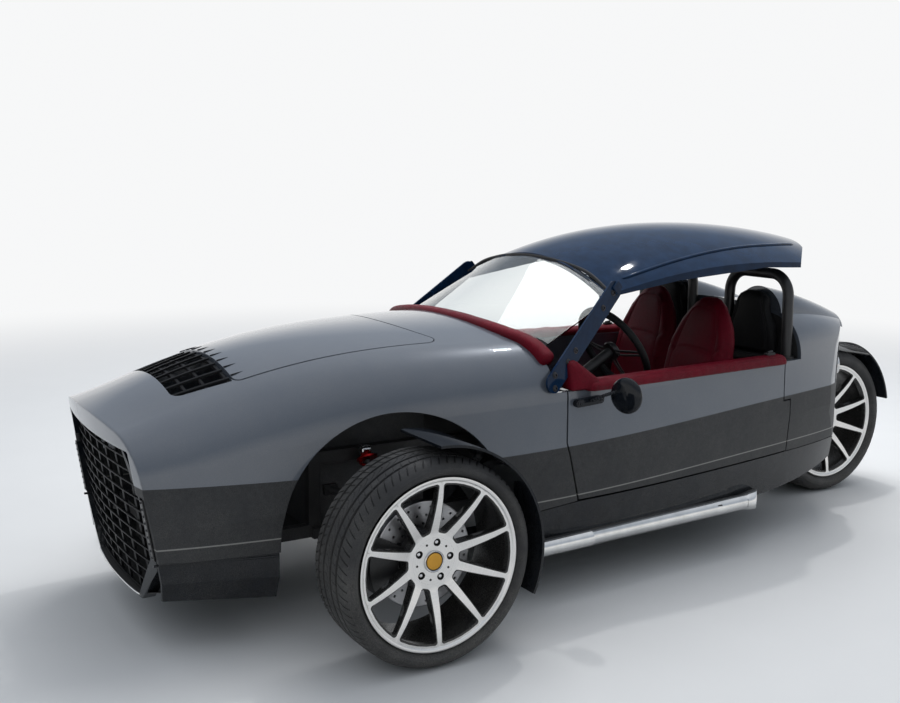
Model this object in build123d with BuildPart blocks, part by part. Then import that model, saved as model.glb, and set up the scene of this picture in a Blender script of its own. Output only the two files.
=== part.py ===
from build123d import *
import os
from math import asin, cos, pi, radians, sin, sqrt, tan

os.makedirs("parts", exist_ok=True)

# A two-seat three-wheeled car: two steered wheels in front, one driven wheel behind.
# Millimetres. Forward is -Y, the car's own left is +X, the ground is Z = 0.

# Driving dimensions of the whole car
wheelbase = 2570
nose_overhang = 805
front_track = 1515

# Wheels and tyres
rim_radius = 266
front_tyre_radius = 321.5
front_tyre_width = 230
rear_tyre_radius = 336
rear_tyre_width = 285
spokes = 10
disc_radius = 165
disc_thickness = 26
hub_radius = 72
rim_dish = 40
hub_pad = 26
lug_circle = 57
lugs = 5

# Clearances
panel_gap = 6
fender_clearance = 34
fender_thickness = 8
wheel_slot_clearance = 28

# Body skin and panels
skin = 18
door_thickness = 62
sill_thickness = 50
arch_radius = 384
arch_offset_y = 38
arch_height = 328
hood_thickness = 18

# Places worked out from those
rear_fender_radius = rear_tyre_radius + fender_clearance + fender_thickness
rear_fender_end = 12
rear_overhang = rear_fender_radius * cos(radians(rear_fender_end))
front_axle_y = nose_overhang - (nose_overhang + wheelbase + rear_overhang) / 2
rear_axle_y = front_axle_y + wheelbase
nose_y = front_axle_y - nose_overhang
wheel_x = front_track / 2
kingpin_x = wheel_x - 78
door_front_y = front_axle_y + 650
door_rear_y = rear_axle_y - 768
cowl_y = front_axle_y + 560
firewall_y = front_axle_y + 470
hoop_y = door_rear_y + 78
bulkhead_y = door_rear_y + 112
tail_y = rear_axle_y - 110

# Heights that run along the body
door_top_z = 735
band_top_z = 560
floor_z = 268
floor_thickness = 16


def export(part, name):
    """Labels one finished piece and writes its file."""
    part.label = name
    export_step(part, f"parts/{name}.step")


def export_both(part, name):
    """Writes a left piece and its mirror image in one file."""
    with BuildPart() as both:
        add(part)
        mirror(about=Plane.YZ)
    export(both.part, name)


def export_pair(part, stem):
    """Writes a left piece and its mirror image on the right."""
    export(part, f"{stem}_left")
    export(mirror(part, about=Plane.YZ), f"{stem}_right")


# Body form: cross-sections from nose to tail, each symmetric about the car's centre plane.
# Columns: place along the car, waist half width and height, shoulder start half width and
# height, flat top half width and height, crown height, lower edge half width and height.
body_sections = (
    (nose_y - 30, 422, 400, 412, 560, 292, 684, 700, 424, 262),
    (front_axle_y - 450, 477, 420, 458, 600, 300, 798, 850, 470, 262),
    (front_axle_y - 100, 522, 450, 508, 660, 335, 874, 916, 505, 250),
    (door_front_y - 100, 600, 500, 596, 700, 425, 898, 948, 578, 205),
    ((door_front_y + door_rear_y) / 2, 580, 500, 576, 722, 425, 915, 960, 556, 196),
    (door_rear_y + 48, 505, 510, 498, 742, 300, 925, 945, 484, 212),
    (rear_axle_y - 370, 440, 520, 430, 748, 255, 893, 912, 405, 262),
    (rear_axle_y - 70, 330, 540, 312, 725, 175, 835, 850, 290, 330),
)


def body_form(inset):
    """The body as one closed solid, with its skin moved in by inset."""
    with BuildPart() as form:
        for y, waist, waist_z, side, side_z, flat, flat_z, crown_z, low, low_z in body_sections:
            with BuildSketch(Plane.XZ.offset(-y)):
                with BuildLine():
                    Polyline(
                        (-(side - inset), side_z),
                        (-(waist - inset), waist_z),
                        (-(low - inset), low_z + inset),
                        (low - inset, low_z + inset),
                        (waist - inset, waist_z),
                        (side - inset, side_z),
                    )
                    TangentArc(
                        (side - inset, side_z),
                        (flat - inset / 2, flat_z - inset),
                        tangent=(side - waist, side_z - waist_z),
                    )
                    ThreePointArc(
                        (flat - inset / 2, flat_z - inset),
                        (0, crown_z - inset),
                        (-(flat - inset / 2), flat_z - inset),
                    )
                    TangentArc(
                        (-(side - inset), side_z),
                        (-(flat - inset / 2), flat_z - inset),
                        tangent=(waist - side, side_z - waist_z),
                    )
                make_face()
        loft()
    return form.part


outer_form = body_form(0)
inner_form = body_form(skin)
door_inner_form = body_form(door_thickness)
sill_inner_form = body_form(sill_thickness)

# The lower edge of the painted skin, above the sills, as seen from the side
skin_low = (
    (nose_y - 60, 322),
    (front_axle_y - 350, 304),
    (door_front_y - 110, 328),
    (door_front_y + 60, 344),
    (door_rear_y + 60, 362),
    (rear_axle_y + 200, 366),
)


def side_prism(points, half_width=900):
    """A prism across the whole car from an outline in side view, given as (y, z) points."""
    with BuildPart() as prism:
        with BuildSketch(Plane.YZ):
            with BuildLine():
                Polyline(*points, close=True)
            make_face()
        extrude(amount=half_width, both=True)
    return prism.part


below_skin = side_prism([*skin_low, (rear_axle_y + 200, -50), (nose_y - 60, -50)])

# The nose face leans back towards the chin and bows forward in the middle
nose_bow_radius = 2540
nose_lean = 8.5
nose_top_z = 680


def nose_cylinder(back):
    """The bowed and leaning nose face as a large cylinder, set back from the nose."""
    centre_y = nose_y + back + nose_bow_radius / cos(radians(nose_lean)) + nose_top_z * tan(radians(nose_lean))
    with BuildPart() as cylinder:
        with Locations((0, centre_y, 0)):
            Cylinder(nose_bow_radius, 4000, rotation=(nose_lean, 0, 0))
    return cylinder.part


# The wheel arch, one opening on each side
with BuildPart() as arch_cut:
    with BuildSketch(Plane.YZ):
        with Locations((front_axle_y + arch_offset_y, arch_height)):
            Circle(arch_radius)
        with Locations((front_axle_y + arch_offset_y, arch_height / 2)):
            Rectangle(2 * arch_radius, arch_height)
    extrude(amount=900, both=True)

# The door outline in side view, and the same outline grown by the gap round it
door_slant = 64
door_step = 46


def door_outline(grow):
    """The door's edges in side view, moved out by grow; the top runs past the sill line."""
    return side_prism(
        (
            (door_front_y - grow, door_top_z + 400 * (grow > 0)),
            (door_front_y - grow, band_top_z),
            (door_front_y + door_slant - grow, 348 - grow),
            (door_rear_y + door_step + grow, 364 - grow),
            (door_rear_y + door_step + grow, band_top_z + 14 + grow),
            (door_rear_y + grow, band_top_z + 14 + grow),
            (door_rear_y + grow, door_top_z + 400 * (grow > 0)),
        )
    )


# The cockpit opening in plan: the cowl's edge bows forward in the middle
cowl_bow = 90
with BuildPart() as cockpit_cut:
    with BuildSketch(Plane.XY.offset(door_top_z)):
        with BuildLine():
            ThreePointArc((-640, cowl_y + 60), (0, cowl_y - cowl_bow + 30), (640, cowl_y + 60))
            Polyline((640, cowl_y + 60), (640, bulkhead_y), (-640, bulkhead_y), (-640, cowl_y + 60))
        make_face()
    extrude(amount=600)

# Hood outline in plan, from the vent's rear edge to the cowl
hood_front_y = front_axle_y - 415
hood_rear_y = front_axle_y + 285
hood_rear_bow = 80
hood_front_half = 292
hood_rear_half = 372
hood_corner = 30


def hood_prism(grow):
    """The hood's outline in plan as an upright prism, moved out by grow."""
    with BuildPart() as prism:
        with BuildSketch(Plane.XY.offset(600)):
            with BuildLine():
                Polyline(
                    (-(hood_rear_half + grow), hood_rear_y + grow),
                    (-(hood_front_half + grow), hood_front_y - grow),
                    (hood_front_half + grow, hood_front_y - grow),
                    (hood_rear_half + grow, hood_rear_y + grow),
                )
                ThreePointArc(
                    (hood_rear_half + grow, hood_rear_y + grow),
                    (0, hood_rear_y - hood_rear_bow + grow),
                    (-(hood_rear_half + grow), hood_rear_y + grow),
                )
            make_face()
        extrude(amount=600)
        fillet(prism.edges().filter_by(Axis.Z), hood_corner + grow)
    return prism.part


# Vent opening in front of the hood, open up to the hood's front edge
vent_front_y = front_axle_y - 598
vent_rear_y = hood_front_y - panel_gap
vent_front_half = 245
vent_rear_half = 286


def vent_prism(shrink):
    """The vent's outline in plan as an upright prism, moved in by shrink."""
    with BuildPart() as prism:
        with BuildSketch(Plane.XY.offset(600)):
            with BuildLine():
                Polyline(
                    (-(vent_front_half - shrink), vent_front_y + shrink),
                    (vent_front_half - shrink, vent_front_y + shrink),
                    (vent_rear_half - shrink, vent_rear_y - shrink),
                    (-(vent_rear_half - shrink), vent_rear_y - shrink),
                    close=True,
                )
            make_face()
        extrude(amount=400)
        fillet(prism.edges().filter_by(Axis.Z).group_by(Axis.Y)[0], 44 - shrink)
    return prism.part


def front_outline(rows, start, end):
    """A prism along the car from rows of (half width, height, corner radius), top row first, both sides alike."""
    right = [(half, height) for half, height, _ in rows]
    left = [(-half, height) for half, height in reversed(right)]
    with BuildPart() as prism:
        with BuildSketch(Plane.XZ.offset(-start)) as outline:
            with BuildLine():
                Polyline(*right, *left, close=True)
            make_face()
            for half, height, corner in rows:
                if corner:
                    at = [v for v in outline.vertices() if abs(abs(v.X) - half) < 1 and abs(v.Z - height) < 1]
                    fillet(at, corner)
        extrude(amount=-(end - start))
    return prism.part


# The lip round the upper half of the mouth is turned in across the nose face and ends at the band
lip_thickness = 14
lip_end_z = 515
lip_opening = ((366, 645, 80), (372, lip_end_z - 40, 0))
with BuildPart() as mouth_lip:
    add(inner_form)
    add(nose_cylinder(0), mode=Mode.INTERSECT)
    add(nose_cylinder(lip_thickness), mode=Mode.SUBTRACT)
    with Locations((0, nose_y, lip_end_z)):
        Box(1200, 400, 400, align=(Align.CENTER, Align.CENTER, Align.MIN), mode=Mode.INTERSECT)
    add(front_outline(lip_opening, nose_y - 60, nose_y + 200), mode=Mode.SUBTRACT)

# Front body: nose, wings and cowl in one skin
with BuildPart() as front_body:
    add(outer_form)
    add(inner_form, mode=Mode.SUBTRACT)
    add(nose_cylinder(0), mode=Mode.INTERSECT)
    add(mouth_lip.part)
    add(below_skin, mode=Mode.SUBTRACT)
    add(arch_cut.part, mode=Mode.SUBTRACT)
    add(cockpit_cut.part, mode=Mode.SUBTRACT)
    add(door_outline(panel_gap), mode=Mode.SUBTRACT)
    add(hood_prism(panel_gap), mode=Mode.SUBTRACT)
    add(vent_prism(0), mode=Mode.SUBTRACT)
    split(bisect_by=Plane.XZ.offset(-(door_front_y + 200)), keep=Keep.TOP)
front_body_solid = front_body.part.solids().sort_by(SortBy.VOLUME)[-1]
export(Part(front_body_solid.wrapped), "front_body")

# Hood lid
with BuildPart() as hood:
    add(outer_form)
    add(body_form(hood_thickness), mode=Mode.SUBTRACT)
    add(hood_prism(0), mode=Mode.INTERSECT)
export(hood.part, "hood")

# Vent: nine bars along the car that spread to the rear, over three bars across, under the skin line
vent_bars = 9
vent_bar_width = 9
vent_cross_ys = (vent_front_y + 48, vent_front_y + 104, vent_rear_y - 6)
with BuildPart() as vent_bar_prism:
    with BuildSketch(Plane.XY.offset(600)):
        for bar in range(vent_bars):
            share = 2 * (bar + 0.5) / vent_bars - 1
            with BuildLine():
                Polyline(
                    (share * vent_front_half - vent_bar_width / 2, vent_front_y - 20),
                    (share * vent_front_half + vent_bar_width / 2, vent_front_y - 20),
                    (share * vent_rear_half + vent_bar_width / 2, vent_rear_y),
                    (share * vent_rear_half - vent_bar_width / 2, vent_rear_y),
                    close=True,
                )
            make_face()
    extrude(amount=400)
with BuildPart() as vent_cross_prism:
    with BuildSketch(Plane.XY.offset(600)):
        with Locations(*[(0, y) for y in vent_cross_ys]):
            Rectangle(2 * vent_rear_half + 40, 8)
    extrude(amount=400)
with BuildPart() as vent_mesh:
    for prism, high, low in ((vent_bar_prism, 3, 10), (vent_cross_prism, 8, 16)):
        with BuildPart(mode=Mode.PRIVATE) as layer:
            add(body_form(high))
            add(body_form(low), mode=Mode.SUBTRACT)
            add(prism.part, mode=Mode.INTERSECT)
            add(vent_prism(0), mode=Mode.INTERSECT)
        add(layer.part)
export(vent_mesh.part, "hood_vent")

# Rear body: haunches, deck and tail, with the wheel slot open behind
slot_half = rear_tyre_width / 2 + wheel_slot_clearance
arm_slot_half = slot_half + 50
tail_bow_radius = 480


def tail_plan(inset):
    """The tail's round outline in plan as an upright prism, moved in by inset."""
    with BuildPart() as prism:
        with BuildSketch(Plane.XY):
            with Locations((0, tail_y - tail_bow_radius)):
                Circle(tail_bow_radius - inset)
            with Locations((0, tail_y - 300 - 600)):
                Rectangle(1400, 1200)
        extrude(amount=1300)
    return prism.part


with BuildPart() as tail_hollow:
    add(inner_form)
    add(tail_plan(skin), mode=Mode.INTERSECT)
with BuildPart() as wheel_slot:
    with BuildSketch(Plane.YZ):
        with Locations((rear_axle_y, rear_tyre_radius)):
            Circle(rear_fender_radius + 22)
        with Locations((rear_axle_y, 100)):
            Rectangle(2 * (rear_fender_radius + 22), 500)
    extrude(amount=slot_half, both=True)
    with Locations((0, rear_axle_y - 100, 230)):
        Box(2 * arm_slot_half, 500, 420)
with BuildPart() as rear_body:
    add(outer_form)
    add(tail_plan(0), mode=Mode.INTERSECT)
    add(tail_hollow.part, mode=Mode.SUBTRACT)
    add(below_skin, mode=Mode.SUBTRACT)
    add(cockpit_cut.part, mode=Mode.SUBTRACT)
    add(door_outline(panel_gap), mode=Mode.SUBTRACT)
    split(bisect_by=Plane.XZ.offset(-(door_rear_y)), keep=Keep.BOTTOM)
    add(wheel_slot.part, mode=Mode.SUBTRACT)

# Twin fairings behind the headrests, each a half-round hump that tapers to the tail
fairing_x = 247
fairing_top_z = 1011
fairing_width = 250
fairing_rows = (
    (bulkhead_y + 2, fairing_width / 2, fairing_top_z),
    (bulkhead_y + 190, fairing_width / 2 - 14, fairing_top_z - 42),
    (rear_axle_y - 220, fairing_width / 2 - 40, 885),
)
fairing_root_z = 860
with BuildPart() as fairing_left:
    for y, half, top_z in fairing_rows:
        with BuildSketch(Plane.XZ.offset(-y)):
            with BuildLine():
                Polyline(
                    (fairing_x - half, top_z - half),
                    (fairing_x - half, fairing_root_z - 160),
                    (fairing_x + half, fairing_root_z - 160),
                    (fairing_x + half, top_z - half),
                )
                ThreePointArc(
                    (fairing_x - half, top_z - half), (fairing_x, top_z), (fairing_x + half, top_z - half)
                )
            make_face()
    loft()
    add(inner_form, mode=Mode.SUBTRACT)
with BuildPart() as rear_body_whole:
    add(rear_body.part)
    add(fairing_left.part)
    add(mirror(fairing_left.part, about=Plane.YZ))
export(rear_body_whole.part, "rear_body")

# Sills, black and rounded under, from the wheel arch to the tail
sill_front_y = front_axle_y + arch_offset_y + arch_radius + 12
sill_rear_y = rear_axle_y - 330
sill_inner_x = 372
with BuildPart() as sill_left:
    add(outer_form)
    add(sill_inner_form, mode=Mode.SUBTRACT)
    add(side_prism([(y, z - 3) for y, z in skin_low] + [(rear_axle_y + 200, -50), (nose_y - 60, -50)]), mode=Mode.INTERSECT)
    with BuildSketch(Plane.XY):
        with Locations((sill_inner_x + 250, (sill_front_y + sill_rear_y) / 2)):
            Rectangle(500, sill_rear_y - sill_front_y)
    extrude(amount=500, mode=Mode.INTERSECT)
export_both(sill_left.part, "sills")

# Floor tray between the sills
floor_front_y = front_axle_y - 560
floor_rear_y = rear_axle_y - 400
front_rail_half = 300
with BuildPart() as floor_pan:
    add(inner_form)
    with BuildSketch(Plane.XY.offset(floor_z)):
        with BuildLine():
            Polyline(
                (-front_rail_half, floor_front_y),
                (front_rail_half, floor_front_y),
                (front_rail_half, firewall_y - 20),
                (700, firewall_y - 20),
                (700, floor_rear_y),
                (-700, floor_rear_y),
                (-700, firewall_y - 20),
                (-front_rail_half, firewall_y - 20),
                close=True,
            )
        make_face()
    extrude(amount=floor_thickness, mode=Mode.INTERSECT)
    for side in (sill_left.part, mirror(sill_left.part, about=Plane.YZ)):
        add(side, mode=Mode.SUBTRACT)
floor_top_z = floor_z + floor_thickness

# Bulkhead behind the seats, with the shelf that the hoops stand on
shelf_thickness = 20
with BuildPart() as rear_bulkhead:
    add(inner_form)
    with BuildSketch(Plane.YZ):
        with BuildLine():
            Polyline(
                (bulkhead_y + 30, floor_top_z),
                (bulkhead_y, floor_top_z),
                (bulkhead_y, door_top_z - shelf_thickness),
                (door_rear_y + 12, door_top_z - shelf_thickness),
                (door_rear_y + 12, door_top_z),
                (bulkhead_y, door_top_z),
                (bulkhead_y, 1000),
                (bulkhead_y + 30, 1000),
                close=True,
            )
        make_face()
    extrude(amount=900, both=True, mode=Mode.INTERSECT)
    for side in (sill_left.part, mirror(sill_left.part, about=Plane.YZ)):
        add(side, mode=Mode.SUBTRACT)

# Firewall ahead of the footwell
with BuildPart() as firewall:
    add(inner_form)
    with BuildSketch(Plane.YZ):
        with Locations((firewall_y, 600)):
            Rectangle(20, 2 * (600 - floor_top_z))
    extrude(amount=900, both=True, mode=Mode.INTERSECT)
    for side in (sill_left.part, mirror(sill_left.part, about=Plane.YZ)):
        add(side, mode=Mode.SUBTRACT)

# Swing arm pivot: a cross tube that lies on the floor between two brackets of the tub
swing_x = -(rear_tyre_width / 2 + 44)
swing_thickness = 44
swing_pivot_radius = 52
swing_pivot_y = rear_axle_y - 500
swing_pivot_z = floor_top_z + swing_pivot_radius
swing_pivot_half = -swing_x + swing_thickness / 2
pivot_bracket_thickness = 14

# The tub: floor, firewall, bulkhead and the jacking pads under the floor, in one piece
jack_rows = ((330, front_axle_y + 640), (300, rear_axle_y - 780))
jack_radius = 30
jack_height = 14
with BuildPart() as tub:
    add(floor_pan.part)
    add(firewall.part)
    add(rear_bulkhead.part)
    for pad_x, pad_y in jack_rows:
        for side in (-1, 1):
            with Locations((side * pad_x, pad_y, floor_z - jack_height / 2)):
                Cylinder(jack_radius, jack_height)
    for side in (-1, 1):
        with Locations((side * (swing_pivot_half + pivot_bracket_thickness / 2), swing_pivot_y, floor_top_z)):
            Box(
                pivot_bracket_thickness,
                2 * swing_pivot_radius + 20,
                2 * swing_pivot_radius + 10,
                align=(Align.CENTER, Align.CENTER, Align.MIN),
            )
export(tub.part, "tub")

# Dashboard under the cowl, and the padded roll along its edge
dash_depth = 150
with BuildPart() as dashboard:
    add(inner_form)
    with BuildSketch(Plane.XY.offset(560)):
        with BuildLine():
            ThreePointArc((-430, cowl_y + 40), (0, cowl_y - 20), (430, cowl_y + 40))
            Polyline((430, cowl_y + 40), (430, cowl_y + 80 - dash_depth), (-430, cowl_y + 80 - dash_depth), (-430, cowl_y + 40))
        make_face()
    extrude(amount=500, mode=Mode.INTERSECT)
export(dashboard.part, "dashboard")

# Engine, one plain block behind the front axle line
engine_length, engine_width, engine_height = 420, 560, 400
with BuildPart() as engine:
    with Locations((0, front_axle_y + 60, floor_top_z)):
        Box(engine_width, engine_length, engine_height, align=(Align.CENTER, Align.CENTER, Align.MIN))
    fillet(engine.edges().filter_by(Axis.Y), 30)
export(engine.part, "engine")

# Grille: a plate round the mouth below the lip, with skirts that run back to the wheel arches
mouth_rows = ((322, 648, 50), (388, 505, 60), (388, 318, 50), (236, 158, 60))
plate_rows = ((330, 655, 50), (392, 560, 60), (404, 322, 0), (424, 321, 0), (424, 292, 0), (258, 150, 30))
plate_depth = 40
skirt_thickness = 9
skirt_rows = (
    # y, half width, top, height of the turn, half width and height of the lower edge
    (nose_y - 20, 424, 321, 262, 408, 208),
    (front_axle_y + arch_offset_y - arch_radius - 2, 474, 303, 225, 444, 150),
)
with BuildPart() as skirt_left:
    for y, half, top_z, turn_z, low_half, low_z in skirt_rows:
        with BuildSketch(Plane.XZ.offset(-y)):
            with BuildLine():
                Polyline(
                    (half, top_z),
                    (half, turn_z),
                    (low_half, low_z),
                    (low_half - skirt_thickness, low_z),
                    (half - skirt_thickness, turn_z),
                    (half - skirt_thickness, top_z),
                    close=True,
                )
            make_face()
    loft(ruled=True)
with BuildPart() as grille_surround:
    add(front_outline(plate_rows, nose_y - 60, nose_y + 200))
    add(front_outline(mouth_rows, nose_y - 60, nose_y + 200), mode=Mode.SUBTRACT)
    add(nose_cylinder(plate_depth), mode=Mode.SUBTRACT)
    add(skirt_left.part)
    add(mirror(skirt_left.part, about=Plane.YZ))
    add(nose_cylinder(0), mode=Mode.INTERSECT)
    add(front_body_solid, mode=Mode.SUBTRACT)
export(grille_surround.part, "grille_surround")

# Grille mesh: thin wires across that follow the bowed nose, in front of upright bars
wire_pitch = 40
wire_height = 5
wire_first_z = 172
wires = 12
upright_pitch = 100
upright_width = 16
uprights = 7
mesh_layers = (lip_thickness + 2, lip_thickness + 7, lip_thickness + 15)
with BuildPart() as wire_slabs:
    with Locations(*[(0, nose_y + 100, wire_first_z + turn * wire_pitch) for turn in range(wires)]):
        Box(1000, 400, wire_height)
with BuildPart() as upright_slabs:
    with GridLocations(upright_pitch, 1, uprights, 1):
        with Locations((0, nose_y + 100, 400)):
            Box(upright_width, 400, 700)
with BuildPart() as grille_mesh:
    for slabs, front, back in ((wire_slabs, *mesh_layers[:2]), (upright_slabs, *mesh_layers[1:])):
        with BuildPart(mode=Mode.PRIVATE) as layer:
            add(nose_cylinder(front))
            add(nose_cylinder(back), mode=Mode.SUBTRACT)
            add(slabs.part, mode=Mode.INTERSECT)
            add(front_outline(mouth_rows, nose_y - 60, nose_y + 200), mode=Mode.INTERSECT)
        add(layer.part)
export(grille_mesh.part, "grille_mesh")

# Front frame: two lower rails, two upper rails, posts at the arms, cross tubes and a tow eye
rail_x = front_rail_half + 5
rail_width = 36
rail_height = 40
rail_z = floor_top_z + rail_height / 2
upper_rail_z = 545
front_tube_y = front_axle_y - 600
tow_x, tow_y = -(rail_x - 22), front_tube_y - rail_height / 2 - 22
tow_thickness = 12
tow_eye_radius = 20
tow_hole_radius = 12
frame_rows = ((front_tube_y, firewall_y - 12, rail_z), (front_axle_y - 190, firewall_y - 12, upper_rail_z))
with BuildPart() as front_frame:
    for start_y, end_y, height in frame_rows:
        with Locations((rail_x + rail_width / 2, (start_y + end_y) / 2, height)):
            Box(rail_width, end_y - start_y, rail_height)
    for post_y in (front_axle_y - 170, front_axle_y + 170):
        with Locations((rail_x + rail_width / 2, post_y, (rail_z + upper_rail_z) / 2)):
            Box(rail_width, rail_height, upper_rail_z - rail_z)
    mirror(about=Plane.YZ)
    with Locations((0, front_tube_y, rail_z), (0, front_axle_y - 170, upper_rail_z)):
        Box(2 * rail_x + 2 * rail_width, rail_height, rail_height)
    with BuildSketch(Plane.XY.offset(floor_top_z)):
        with Locations((tow_x, (tow_y + front_tube_y) / 2)):
            Rectangle(2 * tow_eye_radius, front_tube_y - tow_y)
        with Locations((tow_x, tow_y)):
            Circle(tow_eye_radius)
            Circle(tow_hole_radius, mode=Mode.SUBTRACT)
    extrude(amount=tow_thickness)
export(front_frame.part, "front_frame")

# Radiator behind the mouth: the core, and a shallower duct panel under it in front of the floor
radiator_front_y = front_tube_y + rail_height / 2
panel_depth = floor_front_y - radiator_front_y - 5
with BuildPart() as radiator:
    for low_z, top_z, depth in ((floor_top_z + 5, 649, 40), (172, floor_top_z + 5, panel_depth)):
        with Locations((0, radiator_front_y + depth / 2, (low_z + top_z) / 2)):
            Box(560, depth, top_z - low_z)
export(radiator.part, "radiator")

lamp_face_y = nose_y + 120
lamp_body = 50
front_lamp_x, front_lamp_z, front_lamp_radius = 256, 560, 56
with BuildPart() as headlamps:
    for side in (-1, 1):
        with BuildSketch(Plane.XZ.offset(-lamp_face_y)):
            with Locations((side * front_lamp_x, front_lamp_z)):
                Circle(front_lamp_radius)
        extrude(amount=-lamp_body)
        with BuildSketch(Plane.XZ.offset(-(lamp_face_y + lamp_body))):
            with Locations((side * front_lamp_x, front_lamp_z)):
                Rectangle(30, 30)
        extrude(amount=-(front_axle_y - 580 - lamp_face_y - lamp_body))
export(headlamps.part, "headlamps")

# Doors: solid panels with the roll of padding along the top
with BuildPart() as door_left:
    add(outer_form)
    add(door_inner_form, mode=Mode.SUBTRACT)
    add(door_outline(0), mode=Mode.INTERSECT)
    split(bisect_by=Plane.YZ, keep=Keep.TOP)
export_pair(door_left.part, "door")

bolster_height = 34
bolster_width = 84
bolster_start = (602, door_front_y + 70)
bolster_end = (515, door_rear_y - 12)
with BuildPart() as door_bolster_left:
    bolster_length = sqrt((bolster_end[0] - bolster_start[0]) ** 2 + (bolster_end[1] - bolster_start[1]) ** 2)
    bolster_plane = Plane(
        origin=(bolster_start[0] - 18, bolster_start[1], door_top_z),
        z_dir=(bolster_end[0] - bolster_start[0], bolster_end[1] - bolster_start[1], 0),
        x_dir=(bolster_end[1] - bolster_start[1], bolster_start[0] - bolster_end[0], 0),
    )
    with BuildSketch(bolster_plane):
        with BuildLine():
            Line((-bolster_width / 2, 0), (bolster_width / 2, 0))
            ThreePointArc((bolster_width / 2, 0), (0, -bolster_height), (-bolster_width / 2, 0))
        make_face()
    extrude(amount=bolster_length)
export_pair(door_bolster_left.part, "door_bolster")

# Round door mirrors on a bracket at the front of each door top
mirror_centre = (722, door_front_y + 144, 729)
mirror_radius = 62
mirror_foot_x, mirror_foot_z = 607, 700
with BuildPart() as mirror_left:
    with BuildSketch(Plane.XZ.offset(-(mirror_centre[1] - 12))):
        with Locations((mirror_centre[0], mirror_centre[2])):
            Circle(mirror_radius)
    extrude(amount=-24)
    fillet(mirror_left.edges(), 8)
    with BuildSketch(Plane.YZ.offset(mirror_foot_x)):
        with Locations((mirror_centre[1], mirror_foot_z)):
            Rectangle(70, 36)
    extrude(amount=10)
    with BuildSketch(Plane.YZ.offset(mirror_foot_x + 10)):
        with Locations((mirror_centre[1], mirror_foot_z)):
            Circle(9)
    extrude(amount=mirror_centre[0] - mirror_foot_x - 50)
export_pair(mirror_left.part, "door_mirror")

# Windshield: a sheet bent round one axis and raked back
glass_thickness = 6
glass_rake = 28.5
glass_half = 490
glass_sag = 106
glass_base_y, glass_base_z = front_axle_y + 500, 930
roof_rows = (
    (front_axle_y + 905, 452, 1032, 1158),
    (front_axle_y + 1220, 470, 1098, 1240),
    (front_axle_y + 1640, 472, 1132, 1268),
    (front_axle_y + 2000, 440, 1118, 1243),
    (front_axle_y + 2330, 330, 1090, 1180),
)
roof_thickness = 24
roof_far = 560


def roof_form(drop):
    """The roof's arched form, filled down to well below its edge, lowered by drop."""
    with BuildPart() as form:
        for y, half, edge_z, top_z in roof_rows:
            with BuildSketch(Plane.XZ.offset(-y)):
                with BuildLine():
                    Polyline(
                        (half - drop, edge_z),
                        (half - drop, edge_z - 160),
                        (-half + drop, edge_z - 160),
                        (-half + drop, edge_z),
                    )
                    ThreePointArc((half - drop, edge_z), (0, top_z - drop), (-half + drop, edge_z))
                make_face()
        loft()
    return form.part


roof_outer = roof_form(0)
roof_inner = roof_form(roof_thickness)
with BuildPart() as roof:
    add(roof_outer)
    add(roof_inner, mode=Mode.SUBTRACT)
    with BuildSketch(Plane.YZ):
        with BuildLine():
            Polyline(
                (front_axle_y + 880, 1020),
                (front_axle_y + 1250, 1078),
                (front_axle_y + 1700, 1112),
                (front_axle_y + 2010, 1100),
                (front_axle_y + 2400, 1070),
                (front_axle_y + 2400, 1400),
                (front_axle_y + 880, 1400),
                close=True,
            )
        make_face()
    extrude(amount=900, both=True, mode=Mode.INTERSECT)
    with BuildSketch(Plane.XY.offset(900)):
        with BuildLine():
            ThreePointArc((-300, front_axle_y + 2098), (0, front_axle_y + 2210), (300, front_axle_y + 2098))
            Polyline(
                (300, front_axle_y + 2098),
                (470, front_axle_y + 1900),
                (roof_far, front_axle_y + 1790),
                (roof_far, front_axle_y + 800),
                (-roof_far, front_axle_y + 800),
                (-roof_far, front_axle_y + 1790),
                (-470, front_axle_y + 1900),
                (-300, front_axle_y + 2098),
            )
        make_face()
    extrude(amount=500, mode=Mode.INTERSECT)
export(roof.part, "roof")

with BuildPart() as windshield:
    glass_plane = Plane(
        origin=(0, glass_base_y, glass_base_z),
        x_dir=(1, 0, 0),
        z_dir=(0, cos(radians(glass_rake)), sin(radians(glass_rake))),
    )
    with BuildSketch(glass_plane):
        with BuildLine():
            outer_arc = ThreePointArc((-glass_half, glass_sag), (0, 0), (glass_half, glass_sag))
            offset(outer_arc, amount=glass_thickness, side=Side.LEFT)
        make_face()
    extrude(amount=620)
    extrude(windshield.faces().sort_by(Axis.Y)[0], amount=120)
    with Locations((0, roof_rows[0][0] + 14, 1100)):
        Box(1200, 900, 900, align=(Align.CENTER, Align.MIN, Align.CENTER), mode=Mode.SUBTRACT)
    add(outer_form, mode=Mode.SUBTRACT)
    add(roof_outer, mode=Mode.SUBTRACT)
export(windshield.part, "windshield")

# Plates that hold the windshield's side edges, from the wing to the roof's front corner
plate_foot = Vector(594, front_axle_y + 585, 768)
plate_top = Vector(482, front_axle_y + 925, 1056)
plate_width = 66
plate_thickness = 8
plate_along = (plate_top - plate_foot).normalized()
with BuildPart() as windshield_plate_left:
    with BuildSketch(
        Plane(
            origin=(plate_foot + plate_top) / 2,
            x_dir=plate_along,
            z_dir=plate_along.cross(Vector(0, -plate_along.Z, plate_along.Y)),
        )
    ):
        SlotOverall((plate_top - plate_foot).length + plate_width, plate_width)
    extrude(amount=plate_thickness)
    add(outer_form, mode=Mode.SUBTRACT)
    add(roof_outer, mode=Mode.SUBTRACT)
    add(windshield.part, mode=Mode.SUBTRACT)
export_both(windshield_plate_left.part, "windshield_plates")

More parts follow.
